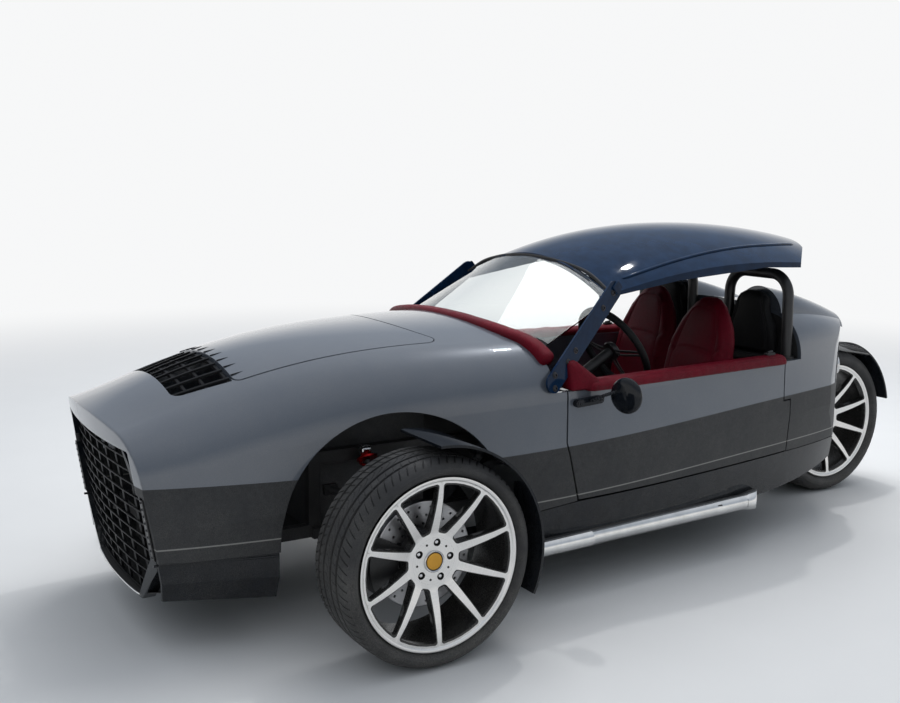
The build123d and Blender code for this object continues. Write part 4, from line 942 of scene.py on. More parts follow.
def wheel_parts(width, rim_radius, spokes):
    """A dished wheel about X, open towards +X. Finishes: 0 turned face, 1 black, 2 gold, 3 bright."""
    half = width / 2 - 0.012
    face_x = half - 0.005
    pitch = 2 * pi / spokes

    def depth_of(r):
        """The face falls from lip to hub: face_x - DISH * (1 - t)^1.6, with t from 0 at the hub to 1."""
        t = np.clip((r - WINDOW_LOW) / (WINDOW_HIGH - WINDOW_LOW), 0, 1)
        return face_x - DISH * (1 - t) ** 1.6

    def thickness(r):
        """The spoke is deeper at the hub than at the rim."""
        return 0.034 - 0.012 * ease(WINDOW_LOW, WINDOW_HIGH, r)

    parts = []
    top = pitch / 2 * WINDOW_HIGH - 0.0068
    low = pitch / 2 * WINDOW_LOW - 0.0135
    low_round = min(0.0125, low * 0.98)
    window = rounded_loop(
        [(-low, WINDOW_LOW), (low, WINDOW_LOW), (top, WINDOW_HIGH), (-top, WINDOW_HIGH)],
        [low_round, low_round, 0.007, 0.007], 12,
    )
    edge = sector_edge(pitch / 2, HUB_R, RING_R, len(window) // 4)
    for i in range(spokes):
        parts += plate_with_window(window, edge, depth_of, thickness, 0.0022, (i + 0.5) * pitch)

    hub_x = depth_of(0.0)
    hole = round_hole(LUG_HOLE, LUG_CIRCLE, 32)
    lug_edge = sector_edge(pi / LUGS, CAP_R, HUB_R, 8)
    for i in range(LUGS):
        turn, between_lugs = (i + 0.15) * 2 * pi / LUGS, (i + 0.65) * 2 * pi / LUGS
        parts += plate_with_window(hole, lug_edge, level(hub_x), level(0.034), 0.0015, turn, rows=4)
        for profile, count, finish, circle, angle in (
            (LUG_FLOOR, 24, 1, LUG_CIRCLE, turn), (LUG_NUT, 6, 3, LUG_CIRCLE, turn),
            (HUB_DOT, 16, 1, 0.0575, between_lugs),
        ):
            at = (hub_x, circle * sin(angle), circle * cos(angle))
            parts.append(placed(lathe(profile, count, finish), at))
    for finish, profile in CAP_PROFILES:
        parts.append(lathe([(hub_x + x, r) for x, r in profile], 64, finish))

    bead_r = rim_radius - 0.0005
    back_x = depth_of(RING_R) - thickness(RING_R)
    lip = [(face_x, RING_R), (face_x + 0.0035, rim_radius - 0.0095), (half, rim_radius - 0.007),
           (half + 0.0008, rim_radius - 0.003), (half, bead_r)]
    outside = [(half, bead_r), (half - 0.006, bead_r), (half - 0.008, rim_radius - 0.012),
               (-half + 0.008, rim_radius - 0.012), (-half + 0.006, bead_r), (-half, bead_r)]
    barrel = [(-half, bead_r), (-half, rim_radius - 0.006), (-half + 0.01, rim_radius - 0.021),
              (-half + 0.05, rim_radius - 0.026), (back_x - 0.02, rim_radius - 0.019), (back_x, RING_R)]
    return parts + [lathe(lip, 160), lathe(outside, 160, 1), lathe(barrel, 160, 1)]


SECTORS = 24


def disc_parts(radius, thickness, hub_radius, inner_x, outer_x):
    """A drilled disc and its bell about X: rings of sectors with a round hole in each."""
    parts = []
    low = hub_radius + 0.012
    face_x = inner_x + thickness
    rings = np.linspace(low, radius - 0.003, 4)
    for ring, (near, far) in enumerate(zip(rings[:-1], rings[1:])):
        hole = round_hole(0.0042, (near + far) / 2, 16)
        edge = sector_edge(pi / SECTORS, near, far, 4)
        for i in range(SECTORS):
            turn = (i + ring / 3) * 2 * pi / SECTORS
            parts += plate_with_window(
                hole, edge, level(face_x), level(thickness), 0.0004, turn, wall=0, rows=2
            )
    rim = [(face_x, radius - 0.003), (face_x - 0.001, radius), (inner_x + 0.001, radius),
           (inner_x, radius - 0.003)]
    bell = [(inner_x, low), (inner_x, 0.022), (outer_x - 0.002, 0.022), (outer_x, 0.03),
            (outer_x, hub_radius - 0.006), (outer_x - 0.005, hub_radius), (face_x + 0.002, hub_radius),
            (face_x, low)]
    return parts + [lathe(rim, 96), lathe(bell, 64, 1)]


class CAR_OT_wheels(bpy.types.Operator):
    """Tyres with cut tread, dished spoked wheels and drilled discs."""

    bl_idname = "car.wheels"
    bl_label = "Wheels"
    bl_options = {"REGISTER", "UNDO"}

    def execute(self, context):
        """One tyre, wheel and disc for each CAD set, in the same boxes."""
        sizes = context.scene.car_sizes
        for name, body, side in WHEELS:
            tyre_node, rim_node, disc_node = "tyre_" + name, "rim_" + name, "brake_disc_" + name
            hub = middle(tyre_node)
            turn = Matrix.Rotation(0 if side > 0 else pi, 3, "Z")
            width = size_of(rim_node)[0] + 0.024
            rim_radius = size_of(rim_node)[2] / 2
            parts = tyre_parts(
                size_of(tyre_node)[2] / 2, width, rim_radius, sizes.tread_depth, sizes.tread_pitches
            )
            parts = [placed(part, hub, turn) for part in parts]
            made = piece("tyre_tread_" + name, parts, ["tyre_rubber"], body, sharp=32)
            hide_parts(tyre_node)
            parts = [placed(part, hub, turn) for part in wheel_parts(width, rim_radius, sizes.spokes)]
            finishes = ["alloy_face_" + name, "alloy_dark", "gold_cap", "bright_metal"]
            made = piece("wheel_spoked_" + name, parts, finishes, body)
            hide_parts(rim_node)
            inner, outer = sorted(side * (corner[0] - hub[0]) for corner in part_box(disc_node))
            thickness = 0.020 if name == "rear" else 0.026
            parts = disc_parts(size_of(disc_node)[2] / 2, thickness, 0.072, inner, outer)
            parts = [placed(part, hub, turn) for part in parts]
            finishes = ["disc_steel_" + name, "cast_metal"]
            made = piece("brake_drilled_" + name, parts, finishes, body)
            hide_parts(disc_node)
        return {"FINISHED"}


# Placing pieces on surfaces


def tree_of(made):
    """A ray caster for an object, whose mesh is already in the car's place."""
    return BVHTree.FromObject(made, bpy.context.evaluated_depsgraph_get())


def tree_of_node(node):
    """A ray caster for a CAD node."""
    return tree_of(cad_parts[node])


def laid(points, towards, tree, lift=0.0):
    """A path moved along a direction to a surface, and lifted back off it: hit - lift * direction."""
    towards = Vector(towards).normalized()
    found = []
    for point in points:
        hit = tree.ray_cast(Vector(point), towards)[0]
        if hit is None:
            raise RuntimeError(f"no surface lies under the path point {tuple(point)}")
        found.append(hit - towards * lift)
    return np.array(found)


def evened(heights, count):
    """Heights averaged over an odd count of neighbours."""
    return np.convolve(np.pad(heights, count // 2, mode="edge"), np.ones(count) / count, "valid")


# A button-head screw with a socket sunk in its middle, as (share of height, share of radius)
SCREW = ((0.3, 1), (0.75, 0.86), (1, 0.56), (0.9, 0.46), (0.35, 0.42), (0.35, 0.0))


def screw_head(radius, height, at, direction, finish=0):
    """A domed screw head on a point."""
    profile = [(-0.001, radius)] + [(x * height, r * radius) for x, r in SCREW]
    return spun(profile, 24, at, direction, finish)


# One stitch as five rings: share of length, rise and size, both in radii
STITCH_RUN, STITCH_RISE, STITCH_SIZE = np.array(
    [(0.0, -0.6, 0.02), (0.12, 0.2, 0.8), (0.5, 0.7, 1.0), (0.88, 0.2, 0.8), (1.0, -0.6, 0.02)]
).T


def stitches(path, up, pitch=0.006, length=0.0043, radius=0.0007):
    """A row of thread stitches: each is a bar of five square rings, thin at its ends and raised amid them."""
    starts = np.arange(pitch, reach_along(path)[-1] - pitch, pitch)
    centre = walk(path, starts[:, None] + STITCH_RUN[None] * length)
    forward = unit(centre[:, -1] - centre[:, 0])
    side = unit(np.cross(forward, up))
    above = np.cross(side, forward)
    centre += above[:, None] * (STITCH_RISE * radius)[None, :, None]
    angle = (np.arange(4) * pi / 2)[None, None, :, None]
    ring = np.cos(angle) * side[:, None, None] + np.sin(angle) * above[:, None, None]
    points = centre[:, :, None] + (STITCH_SIZE * radius)[None, :, None, None] * ring
    quads = grid(points[0], wrap_v=True)[1]
    every = quads[None] + (np.arange(len(starts)) * len(STITCH_RUN) * 4)[:, None, None]
    return points.reshape(-1, 3), every.reshape(-1, 4), 1


# Nose trim

STRIP_HALF = 0.0125
STRIP_SECTION = ((-STRIP_HALF, -0.002), (-STRIP_HALF, 0.001), (-0.0115, 0.002), (0.0115, 0.002),
                 (STRIP_HALF, 0.001), (STRIP_HALF, -0.002))
CHIN_HALF = 0.245


def on_nose(x, z, proud=0.0):
    """A point of the nose, a leaning cylinder.

    y = nose + R / cos a + (top - z) tan a - sqrt(R^2 - x^2) / cos a - proud
    """
    x, z = np.broadcast_arrays(np.asarray(x, float), np.asarray(z, float))
    y = NOSE_Y + NOSE_BOW / cos(NOSE_LEAN) + (NOSE_TOP - z) * tan(NOSE_LEAN)
    y = y - np.sqrt(NOSE_BOW**2 - x**2) / cos(NOSE_LEAN) - proud
    return np.stack([x, y, z], -1)


class CAR_OT_nose(bpy.types.Operator):
    """Side strips with their screws, a bright tube along the chin's edge that is a painted highlight, the
    tray under the nose and the beads of the skirts.
    """

    bl_idname = "car.nose"
    bl_label = "Nose trim"
    bl_options = {"REGISTER", "UNDO"}

    def execute(self, context):
        """Profiles carried along lines of the nose, and a sheet that rises at both sides for the tray."""
        outward = (0, -1, tan(NOSE_LEAN))
        path = on_nose(np.linspace(0.4045, 0.4135, 24), np.linspace(0.508, 0.325, 24), 0.0012)
        strip = [carry(path, STRIP_SECTION, outward)]
        for t in np.linspace(0.04, 0.96, 9):
            at = on_nose(0.4045 + 0.009 * t, 0.508 - 0.183 * t, 0.003)
            strip.append(screw_head(0.0042, 0.0026, at, outward, 1))
        piece("nose_side_strips", both_sides(strip), ["satin_black", "dark_screws"], "chassis")

        # A bright metal tube along the chin's lower edge: a painted highlight of light off the floor on that
        # edge.
        x = np.linspace(-CHIN_HALF, CHIN_HALF, 41)
        chin = on_nose(x, 0.1535 + 0.006 * (np.abs(x) / CHIN_HALF) ** 6)
        edge = tube(chin, 0.0034, up=(0, -1, 0))
        piece("chin_painted_highlight", [edge], ["bright_metal"], "chassis")

        t = np.linspace(0, 1, 25)[:, None]
        rise = np.linspace(-1, 1, 49)[None]
        front_y, rear_y = NOSE_Y + 0.075, FRONT_Y - 0.352
        low_z = 0.158 - 0.004 * t
        shelf = np.maximum(np.abs(rise) - 0.60, 0) / 0.40
        sheet = np.stack([
            (0.395 + 0.042 * t) * rise,
            front_y + (rear_y - front_y) * t + 0.045 * rise**2 * (1 - t),
            low_z + (0.051 - 0.052 * t) * shelf,
        ], -1)
        tray = grid(np.concatenate([sheet, sheet[::-1] + (0, 0, 0.003)]), wrap_u=True)
        piece("intake_tray", [tray], ["moulded_black"], "chassis")

        front = (0.4245, NOSE_Y + 0.082, 0.3085)
        rear = (0.4745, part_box("grille_surround")[1][1] - 0.003, 0.292)
        bead = tube(evenly([front, rear], 20), 0.0042, 12)
        piece("skirt_beads", both_sides([bead]), ["gloss_black"], "chassis")
        return {"FINISHED"}


VENT_BARS = 9
VENT_HALF = 0.286
BLADE_SECTION = ((-0.0045, -0.0003), (-0.0045, 0.0014), (0.0, 0.0034), (0.0045, 0.0014), (0.0045, -0.0003))


class CAR_OT_vent(bpy.types.Operator):
    """Pointed ends of the vent's bars over the front edge of the hood."""

    bl_idname = "car.vent"
    bl_label = "Vent points"
    bl_options = {"REGISTER", "UNDO"}

    def execute(self, context):
        """Each point is a blade whose width and height fall to nothing: scale = 1 - t^1.4 along it."""
        tree = tree_of_node("hood")
        front_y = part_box("hood")[0][1] + 0.001
        t = np.linspace(0, 1, 12)
        cap = np.array(BLADE_SECTION)[[0, 1, 3, 4]]
        parts = []
        for share in 2 * (np.arange(VENT_BARS) + 0.5) / VENT_BARS - 1:
            path = np.stack([share * VENT_HALF * (1 + 0.0048 * t), front_y + 0.040 * t, np.full(12, 1.2)], -1)
            path = laid(path, (0, 0, -1), tree, 0.0003)
            parts.append(carry(path, BLADE_SECTION, scale=np.maximum(1 - t**1.4, 0.02)))
            parts.append((path[0] + np.insert(cap, 1, 0.0, axis=1), np.array([[0, 1, 2, 3]]), 0))
        piece("vent_points", parts, ["mesh_black"], "hood")
        return {"FINISHED"}


# Windshield, roof and mirrors

PLATE_FOOT = np.array([0.594, FRONT_Y + 0.585, 0.768])
PLATE_TOP = np.array([0.482, FRONT_Y + 0.925, 1.056])
# Screws of a side plate: share of the way up it, and metres across it
PLATE_SCREWS = ((-0.02, -0.014), (0.05, 0.016), (0.22, 0.0), (0.34, 0.0), (0.80, 0.0), (0.97, 0.0))
# Profiles as (x, r), and the saddle's rings as (scale, rise)
WASHER = ((0.0, 0.0115), (0.0012, 0.0112), (0.0013, 0.008))
SADDLE = ((1.0, 0.0), (1.0, 0.006), (0.9, 0.0085), (0.02, 0.009))


def coordinates(mesh):
    """A mesh's points as an array."""
    points = np.empty(len(mesh.vertices) * 3, np.float32)
    mesh.vertices.foreach_get("co", points)
    return points.reshape(-1, 3).astype(float)


def points_of(node):
    """The points of a CAD node."""
    return coordinates(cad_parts[node].data)


class CAR_OT_windshield(bpy.types.Operator):
    """Rubber seals round the glass, and the screws and top brackets of its side plates."""

    bl_idname = "car.windshield"
    bl_label = "Windshield trim"
    bl_options = {"REGISTER", "UNDO"}

    def execute(self, context):
        """Seals follow the edge of the glass; screws stand on the outer faces of the plates."""
        points = points_of("windshield")
        columns = np.linspace(-0.47, 0.47, 33)
        near = [points[np.abs(points[:, 0] - x) < 0.03] for x in columns]
        parts = []
        for find, lift in ((np.argmin, 0.002), (np.argmax, -0.002)):
            path = np.array([some[find(some[:, 2])] for some in near])
            path[:, 0] = columns
            smooth = curve_through(path[::4], 65)
            parts.append(tube(smooth + (0, 0, lift), 0.0065))
        piece("windshield_seals", parts, ["seal_rubber"], "chassis")

        slope = PLATE_TOP - PLATE_FOOT
        along = unit(slope)
        outward = unit(np.cross(along, np.cross((1.0, 0.0, 0.0), along)))
        outward *= np.sign(outward[0])
        across = np.cross(outward, along)
        tree = tree_of_node("windshield_plates")
        parts = []
        for t, s in PLATE_SCREWS:
            start = PLATE_FOOT + slope * t + across * s + outward * 0.2
            at = laid([start], -outward, tree)[0]
            parts += [screw_head(0.0085, 0.0052, at, outward), spun(WASHER, 24, at, outward)]
        bracket = laid([PLATE_TOP + along * 0.014 + outward * 0.2], -outward, tree, -0.001)[0]
        parts.append(stacked(rounded_box(0.021, 0.017, 0.006, 9), SADDLE, bracket, along, across, outward, 1))
        piece("plate_screws", both_sides(parts), ["dark_screws", "roof_black_with_painted_sky"], "chassis")
        return {"FINISHED"}


# The roof's rail as (x, y behind the front axle)
RAIL = ((0.415, 1.02), (0.414, 1.12), (0.408, 1.26), (0.396, 1.42), (0.372, 1.64),
        (0.338, 1.86), (0.285, 2.06))


class CAR_OT_roof(bpy.types.Operator):
    """The raised drip rail along each side of the roof."""

    bl_idname = "car.roof"
    bl_label = "Roof rails"
    bl_options = {"REGISTER", "UNDO"}

    def execute(self, context):
        """An arched bead laid on the roof from above, with its section drawn down at both ends."""
        path = curve_through([(x, FRONT_Y + y, 1.5) for x, y in RAIL], 90)
        path = laid(path, (0, 0, -1), tree_of_node("roof"), -0.0008)
        path[:, 2] = evened(path[:, 2], 7)
        t = np.linspace(0, 1, len(path))
        scale = np.sqrt(np.clip(np.minimum(t, 1 - t) / 0.03, 0.0004, 1))
        bead = carry(path, ring_section(0.0085, 16, 0.0062), scale=scale)
        piece("roof_rails", both_sides([bead]), ["roof_black_with_painted_sky"], "chassis")
        return {"FINISHED"}


MIRROR_TURN = radians(15)
MIRROR_FOOT = np.array([0.6085, FRONT_Y + 0.728, 0.697])
FOOT_SLOPE = 0.06
# Rings of the foot as (scale, rise)
FOOT_RINGS = ((1.0, -0.006), (1.0, 0.009), (0.94, 0.0125), (0.02, 0.013))
# Mirror profiles as (x, share of its radius)
MIRROR_SHELL = ((-0.0125, 0.0), (-0.0120, 0.22), (-0.0105, 0.5), (-0.0075, 0.76), (-0.0030, 0.93),
                (0.0030, 0.995), (0.0085, 1), (0.0112, 0.985), (0.0120, 0.955), (0.0112, 0.925),
                (0.0092, 0.915))
MIRROR_GLASS = ((0.0092, 0.915), (0.0096, 0.90), (0.0100, 0.5), (0.0102, 0.0))
ARM_KNOB = ((-0.013, 0.0), (-0.011, 0.009), (0.0, 0.0135), (0.011, 0.009), (0.013, 0.0))


class CAR_OT_mirrors(bpy.types.Operator):
    """Round door mirrors: a domed shell, silvered glass behind a rim, and a ribbed arm on a long foot."""

    bl_idname = "car.mirrors"
    bl_label = "Door mirrors"
    bl_options = {"REGISTER", "UNDO"}

    def execute(self, context):
        """Lathe profiles about the mirror's axis, turned to face forward, and arms carried to the door."""
        foot = MIRROR_FOOT
        for name, side in SIDES:
            node, body = "door_mirror_" + name, "door_" + name
            low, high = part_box(node)
            radius = (high[2] - low[2]) / 2 - 0.0005
            outer = max(high[0], -low[0])
            centre = np.array([outer - radius - 0.0005, FRONT_Y + 0.794, (low[2] + high[2]) / 2])
            ahead = (-sin(MIRROR_TURN), cos(MIRROR_TURN), 0)
            end = centre + (-0.030, -0.006, 0.012)
            route = [foot + (0.004, 0.000, 0.002), foot + (0.026, 0.008, 0.010),
                     (foot + end) / 2 + (0.012, 0, 0.006), end]
            ribs = 1 + 0.12 * np.sign(np.sin(np.arange(36) * 2.1))
            s, t = rounded_box(0.060, 0.0135, 0.0125, 12).T
            rings = []
            for scale, rise in FOOT_RINGS:
                ring = [np.full(len(s), rise), s - (1 - scale) * 0.2 * s, scale * t + FOOT_SLOPE * s]
                rings.append(foot + np.stack(ring, -1))
            parts = [
                spun(scaled(MIRROR_SHELL, radius), 96, centre, ahead),
                spun(scaled(MIRROR_GLASS, radius), 96, centre, ahead, 1),
                carry(curve_through(route, 36), ring_section(0.0082, 16, 0.0058), scale=ribs),
                placed(lathe(ARM_KNOB, 24), end),
                grid(rings, wrap_v=True),
            ]
            for y in (-0.047, 0.047):
                parts.append(screw_head(0.0062, 0.004, foot + (0.0125, y, FOOT_SLOPE * y), (1, 0, 0), 2))
            if side < 0:
                parts = [mirrored(part) for part in parts]
            finishes = ["gloss_black", "mirror_glass", "dark_screws"]
            made = piece("round_mirror_" + body, parts, finishes, body)
            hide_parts(node)
        return {"FINISHED"}


# Exhausts, springs and lamps

PIPE_FRONT = np.array([0.612, FRONT_Y + 0.520, 0.205])
PIPE_REAR = np.array([0.548, FRONT_Y + 1.680, 0.207])
PIPE_R = 0.030
# Rings of a pipe as (distance along, radius, slant), from its front end, and those of its tip from its mouth
PIPE = ((0.0, 0.001, 0), (0.0, 0.026, 0), (0.004, PIPE_R, 0), (0.235, PIPE_R, 0), (0.237, 0.0308, 0),
        (0.241, 0.0308, 0), (0.243, PIPE_R, 0))
TIP = ((-0.085, PIPE_R, 0), (-0.081, 0.0312, 0), (-0.070, 0.0335, 0.35), (-0.040, 0.0375, 0.8),
       (-0.008, 0.0392, 1.1), (-0.0025, 0.0390, 1.1), (0.0, 0.0380, 1.1), (-0.0015, 0.0366, 1.1),
       (-0.006, 0.0358, 1.1))
TIP_INNER = ((-0.006, 0.0358, 1.1), (-0.014, 0.0345, 1.1), (-0.020, 0.028, 1.1), (-0.023, 0.015, 1.1),
             (-0.024, 0.0005, 1.1))
STAY_Z = 0.219
STAY_ENDS = (0.487, 0.590)


class CAR_OT_exhausts(bpy.types.Operator):
    """Straight side pipes, each with one weld bead, two stays and a flared tip cut at a slant."""

    bl_idname = "car.exhausts"
    bl_label = "Exhausts"
    bl_options = {"REGISTER", "UNDO"}

    def execute(self, context):
        """Rings along the axis, sheared at the tip: shift = slant * sideways part of the radius."""
        along = unit(PIPE_REAR - PIPE_FRONT)
        side = unit(np.cross(along, (0, 0, 1)))
        upward = np.cross(side, along)
        mouth = np.linalg.norm(PIPE_REAR - PIPE_FRONT) - 0.046
        angle = np.linspace(0, 2 * pi, 72, endpoint=False)[None, :, None]
        parts = []
        tip = [(mouth + x, r, slant) for x, r, slant in TIP]
        inner = [(mouth + x, r, slant) for x, r, slant in TIP_INNER]
        for rows, finish in ((list(PIPE) + tip[:1], 0), (tip, 0), (inner, 1)):
            distance, radius, slant = (np.array(column, float)[:, None, None] for column in zip(*rows))
            outward = np.cos(angle) * side + np.sin(angle) * upward
            shift = distance - slant * radius * np.cos(angle)
            parts.append(grid(PIPE_FRONT + shift * along + radius * outward, wrap_v=True, finish=finish))
        section = rounded_box(0.012, 0.006, 0.003, 6)
        for stay_y in (FRONT_Y + 0.700, FRONT_Y + 1.400):
            path = evenly([(x, stay_y, STAY_Z) for x in STAY_ENDS], 6)
            parts.append(carry(path, section, finish=2))
            for x in STAY_ENDS:
                cap = np.stack(
                    [np.full(len(section), x), stay_y + section[:, 0], STAY_Z + section[:, 1]], -1
                )
                parts.append(grid([cap, cap * 0 + cap.mean(0)], wrap_v=True, finish=2))
        finishes = ["chrome", "brown_metal", "satin_black"]
        made = piece("side_pipes", both_sides(parts), finishes, "chassis")
        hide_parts("exhaust_pipes")
        return {"FINISHED"}


DAMPER_EYE = ((-0.016, 0.006), (-0.016, 0.0145), (-0.013, 0.017), (0.013, 0.017), (0.016, 0.0145),
              (0.016, 0.006))


def strut(foot, head, radius, turns):
    """A damper whose spring is a tube along a helix: angle = 2 pi * turns * t, height t * length."""
    along = unit(head - foot)
    length = np.linalg.norm(head - foot)
    low, high = 0.20 * length, 0.90 * length
    body = [(0.0, 0.004), (0.002, 0.019), (0.018, 0.021), (0.022, 0.026), (0.55 * length, 0.026),
            (0.555 * length, 0.022), (0.56 * length, 0.010), (high, 0.0095)]
    seat = [(low - 0.010, 0.026), (low - 0.010, radius + 0.004), (low - 0.004, radius + 0.005),
            (low - 0.004, 0.026)]
    top = [(high + 0.003, 0.010), (high + 0.003, radius + 0.004), (high + 0.009, radius + 0.004),
           (high + 0.012, 0.018), (length - 0.004, 0.016), (length, 0.004)]
    parts = [spun(profile, 40, foot, along, number) for profile, number in ((body, 0), (seat, 1), (top, 1))]
    t = np.linspace(0, 1, int(turns * 26))
    angle = 2 * pi * turns * t
    coil_r = radius - 0.006
    helix = np.stack([low + (high - low) * t, coil_r * np.cos(angle), coil_r * np.sin(angle)], -1)
    parts.append(placed(tube(helix, 0.0052, up=(1, 0, 0), finish=1), foot, facing(along)))
    axle = (0, 1, 0) if abs(along[0]) > 0.1 else (1, 0, 0)
    return parts + [spun(DAMPER_EYE, 32, at, axle, 2) for at in (foot, head)]


class CAR_OT_springs(bpy.types.Operator):
    """Coil-over dampers: a body, a rod, a helical spring between its seats and a round eye at each end."""

    bl_idname = "car.springs"
    bl_label = "Springs"
    bl_options = {"REGISTER", "UNDO"}

    def execute(self, context):
        """Two struts in front, and one behind between the ends of the CAD node's rear part."""
        foot, head = np.array([0.560, FRONT_Y, 0.262]), np.array([0.363, FRONT_Y, 0.560])
        points = points_of("dampers")
        rear = points[points[:, 1] > 0]
        height = rear[:, 2]
        low = rear[height < height.min() + 0.02].mean(0)
        high = rear[height > height.max() - 0.02].mean(0)
        parts = both_sides(strut(foot, head, 0.031, 7.0)) + strut(low, high, 0.033, 7.5)
        finishes = ["satin_black", "red_metal", "bright_metal"]
        made = piece("coil_dampers", parts, finishes, "chassis")
        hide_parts("dampers")
        return {"FINISHED"}


LAMP_X = 0.262
TAIL_BOW = 0.48
# Rows of (x, r less the lamp's radius)
LAMP_BEZEL = ((-0.004, 0.0005), (0.0045, 0.0005), (0.0065, -0.001), (0.0055, -0.004), (0.0038, -0.0045))


class CAR_OT_lamps(bpy.types.Operator):
    """Rings round the tail lamps and on their lenses."""

    bl_idname = "car.lamps"
    bl_label = "Lamps"
    bl_options = {"REGISTER", "UNDO"}

    def execute(self, context):
        """A bright ring and three fine ones round each lamp, its place found from the CAD node's points."""
        points = points_of("tail_lamps")
        near = points[points[:, 0] > 0]
        low_z, high_z = near[:, 2].min(), near[:, 2].max()
        radius = (high_z - low_z) / 2
        outward = np.array([LAMP_X, np.sqrt(TAIL_BOW**2 - LAMP_X**2), 0.0]) / TAIL_BOW
        across = np.cross(outward, (0, 0, 1))
        at = np.array([LAMP_X, 0.0, (low_z + high_z) / 2])
        at = at + outward * ((near @ outward).max() - at @ outward)
        at += across * (((near @ across).min() + (near @ across).max()) / 2 - at @ across)
        parts = [spun([(x, radius + r) for x, r in LAMP_BEZEL], 72, at, outward)]
        for r in np.linspace(0.25, 0.8, 3) * radius:
            parts.append(spun([(0.0038, r + 0.0013), (0.0050, r), (0.0038, r - 0.0013)], 72, at, outward, 1))
        piece("tail_lamp_rings", both_sides(parts), ["bright_metal", "lamp_red"], "chassis")
        return {"FINISHED"}


# Padded pieces: closed forms swollen by cloth pressure, then seams, piping and stitches

CLOTH_FRAMES = 20
CLOTH_PRESSURE = 4.0


def pad_form(centres, widths, depths, face, power, hollow=0.0, columns=56):
    """A pad of stacked superellipses: s = w |cos|^(2/p), t = d |sin|^(2/p), hollowed amid its face."""
    angle = np.linspace(0, 2 * pi, columns, endpoint=False)[None]
    widths, depths = np.asarray(widths, float)[:, None], np.asarray(depths, float)[:, None]
    s = widths * np.sign(np.cos(angle)) * np.abs(np.cos(angle)) ** (2 / power)
    t = depths * np.sign(np.sin(angle)) * np.abs(np.sin(angle)) ** (2 / power)
    t = t - hollow * (t > 0) * np.exp(-((s / (0.55 * widths)) ** 2)) * (depths / depths.max())
    points = np.asarray(centres, float)[:, None] + s[..., None] * np.array([1, 0, 0])
    points = points + t[..., None] * np.asarray(face)
    ends = [points[i] * 0.001 + points[i].mean(0, keepdims=True) * 0.999 for i in (0, -1)]
    return grid(np.concatenate([ends[0][None], points, ends[1][None]]), wrap_v=True)


def crowded(low, high, count):
    """Steps from low to high that crowd together at both ends: low + (high - low) (1 - cos a) / 2."""
    return low + (high - low) * (1 - np.cos(np.linspace(0.02, pi - 0.02, count))) / 2


def distance_to(points, paths):
    """Distance of each point to the nearest point of some paths."""
    route = np.concatenate(paths)
    best = np.full(len(points), 1e9)
    for some in np.array_split(route, max(1, len(route) // 40)):
        best = np.minimum(best, ((points[:, None] - some[None]) ** 2).sum(-1).min(1))
    return np.sqrt(best)


def set_points(mesh, points):
    """Gives a mesh its points."""
    mesh.vertices.foreach_set("co", points.astype(np.float32).ravel())
    mesh.update()


def relaxed(made, pinned):
    """The points of a form after cloth pressure from inside, its pinned group held."""
    cloth = made.modifiers.new("cloth", "CLOTH")
    settings = cloth.settings
    settings.use_pressure = True
    settings.uniform_pressure_force = CLOTH_PRESSURE
    settings.effector_weights.gravity = 0
    settings.quality = 4
    settings.tension_stiffness = 12
    settings.compression_stiffness = 4
    settings.bending_stiffness = 0.4
    settings.vertex_group_mass = pinned
    cloth.point_cache.frame_start = 1
    cloth.point_cache.frame_end = CLOTH_FRAMES
    for number in range(1, CLOTH_FRAMES + 1):
        bpy.context.scene.frame_set(number)
    points = coordinates(made.evaluated_get(bpy.context.evaluated_depsgraph_get()).data)
    made.modifiers.remove(cloth)
    bpy.context.scene.frame_set(1)
    return points


def swollen(name, part, voxel, cap, seams, depth, width):
    """A soft form: voxels, cloth pressure with moves held to cap * tanh(move / cap), then pressed seams."""
    mesh = bpy.data.meshes.new(name)
    mesh.from_pydata(part[0].tolist(), [], part[1].tolist())
    made = linked(name, mesh)
    remesh = made.modifiers.new("voxels", "REMESH")
    remesh.mode = "VOXEL"
    remesh.voxel_size = voxel
    made.data = bpy.data.meshes.new_from_object(made.evaluated_get(bpy.context.evaluated_depsgraph_get()))
    made.modifiers.remove(remesh)
    bpy.data.meshes.remove(mesh)
    made.data.name = name
    start = coordinates(made.data)
    held = made.vertex_groups.new(name="held")
    held.add(np.nonzero(distance_to(start, seams) < width * 0.6)[0].tolist(), 1.0, "REPLACE")
    move = relaxed(made, held.name) - start
    reach = np.maximum(np.linalg.norm(move, axis=1, keepdims=True), 1e-9)
    end = start + move / reach * cap * np.tanh(reach / cap)
    set_points(made.data, end)
    normals = np.empty(len(end) * 3, np.float32)
    made.data.vertex_normals.foreach_get("vector", normals)
    press = depth * np.exp(-((distance_to(end, seams) / width) ** 2))
    set_points(made.data, end - normals.reshape(-1, 3) * press[:, None])
    made.data.polygons.foreach_set("use_smooth", np.ones(len(made.data.polygons), bool))
    smooth = made.modifiers.new("smooth", "SUBSURF")
    smooth.levels = smooth.render_levels = 1
    return made


def dressed(made, finish, slot, fill, *nodes):
    """Gives a padded piece its material and body, and lets it stand for its CAD nodes."""
    made.data.materials.clear()
    made.data.materials.append(MATERIALS[finish])
    made.vertex_groups.clear()
    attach(made, "chassis")
    if nodes:
        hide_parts(*nodes)
    return made


def sideways_of(path, towards):
    """Unit vectors square to a path and to a direction."""
    return unit(np.cross(np.gradient(path, axis=0), towards))


def over(path, towards, tree, margin=0.006):
    """The part of a path that lies over a surface with a margin on both sides of it."""
    kept = [
        all(tree.ray_cast(Vector(point + side * margin * beside), Vector(towards))[0] for side in (-1, 1))
        for point, beside in zip(path, sideways_of(path, towards))
    ]
    return path[np.array(kept)]


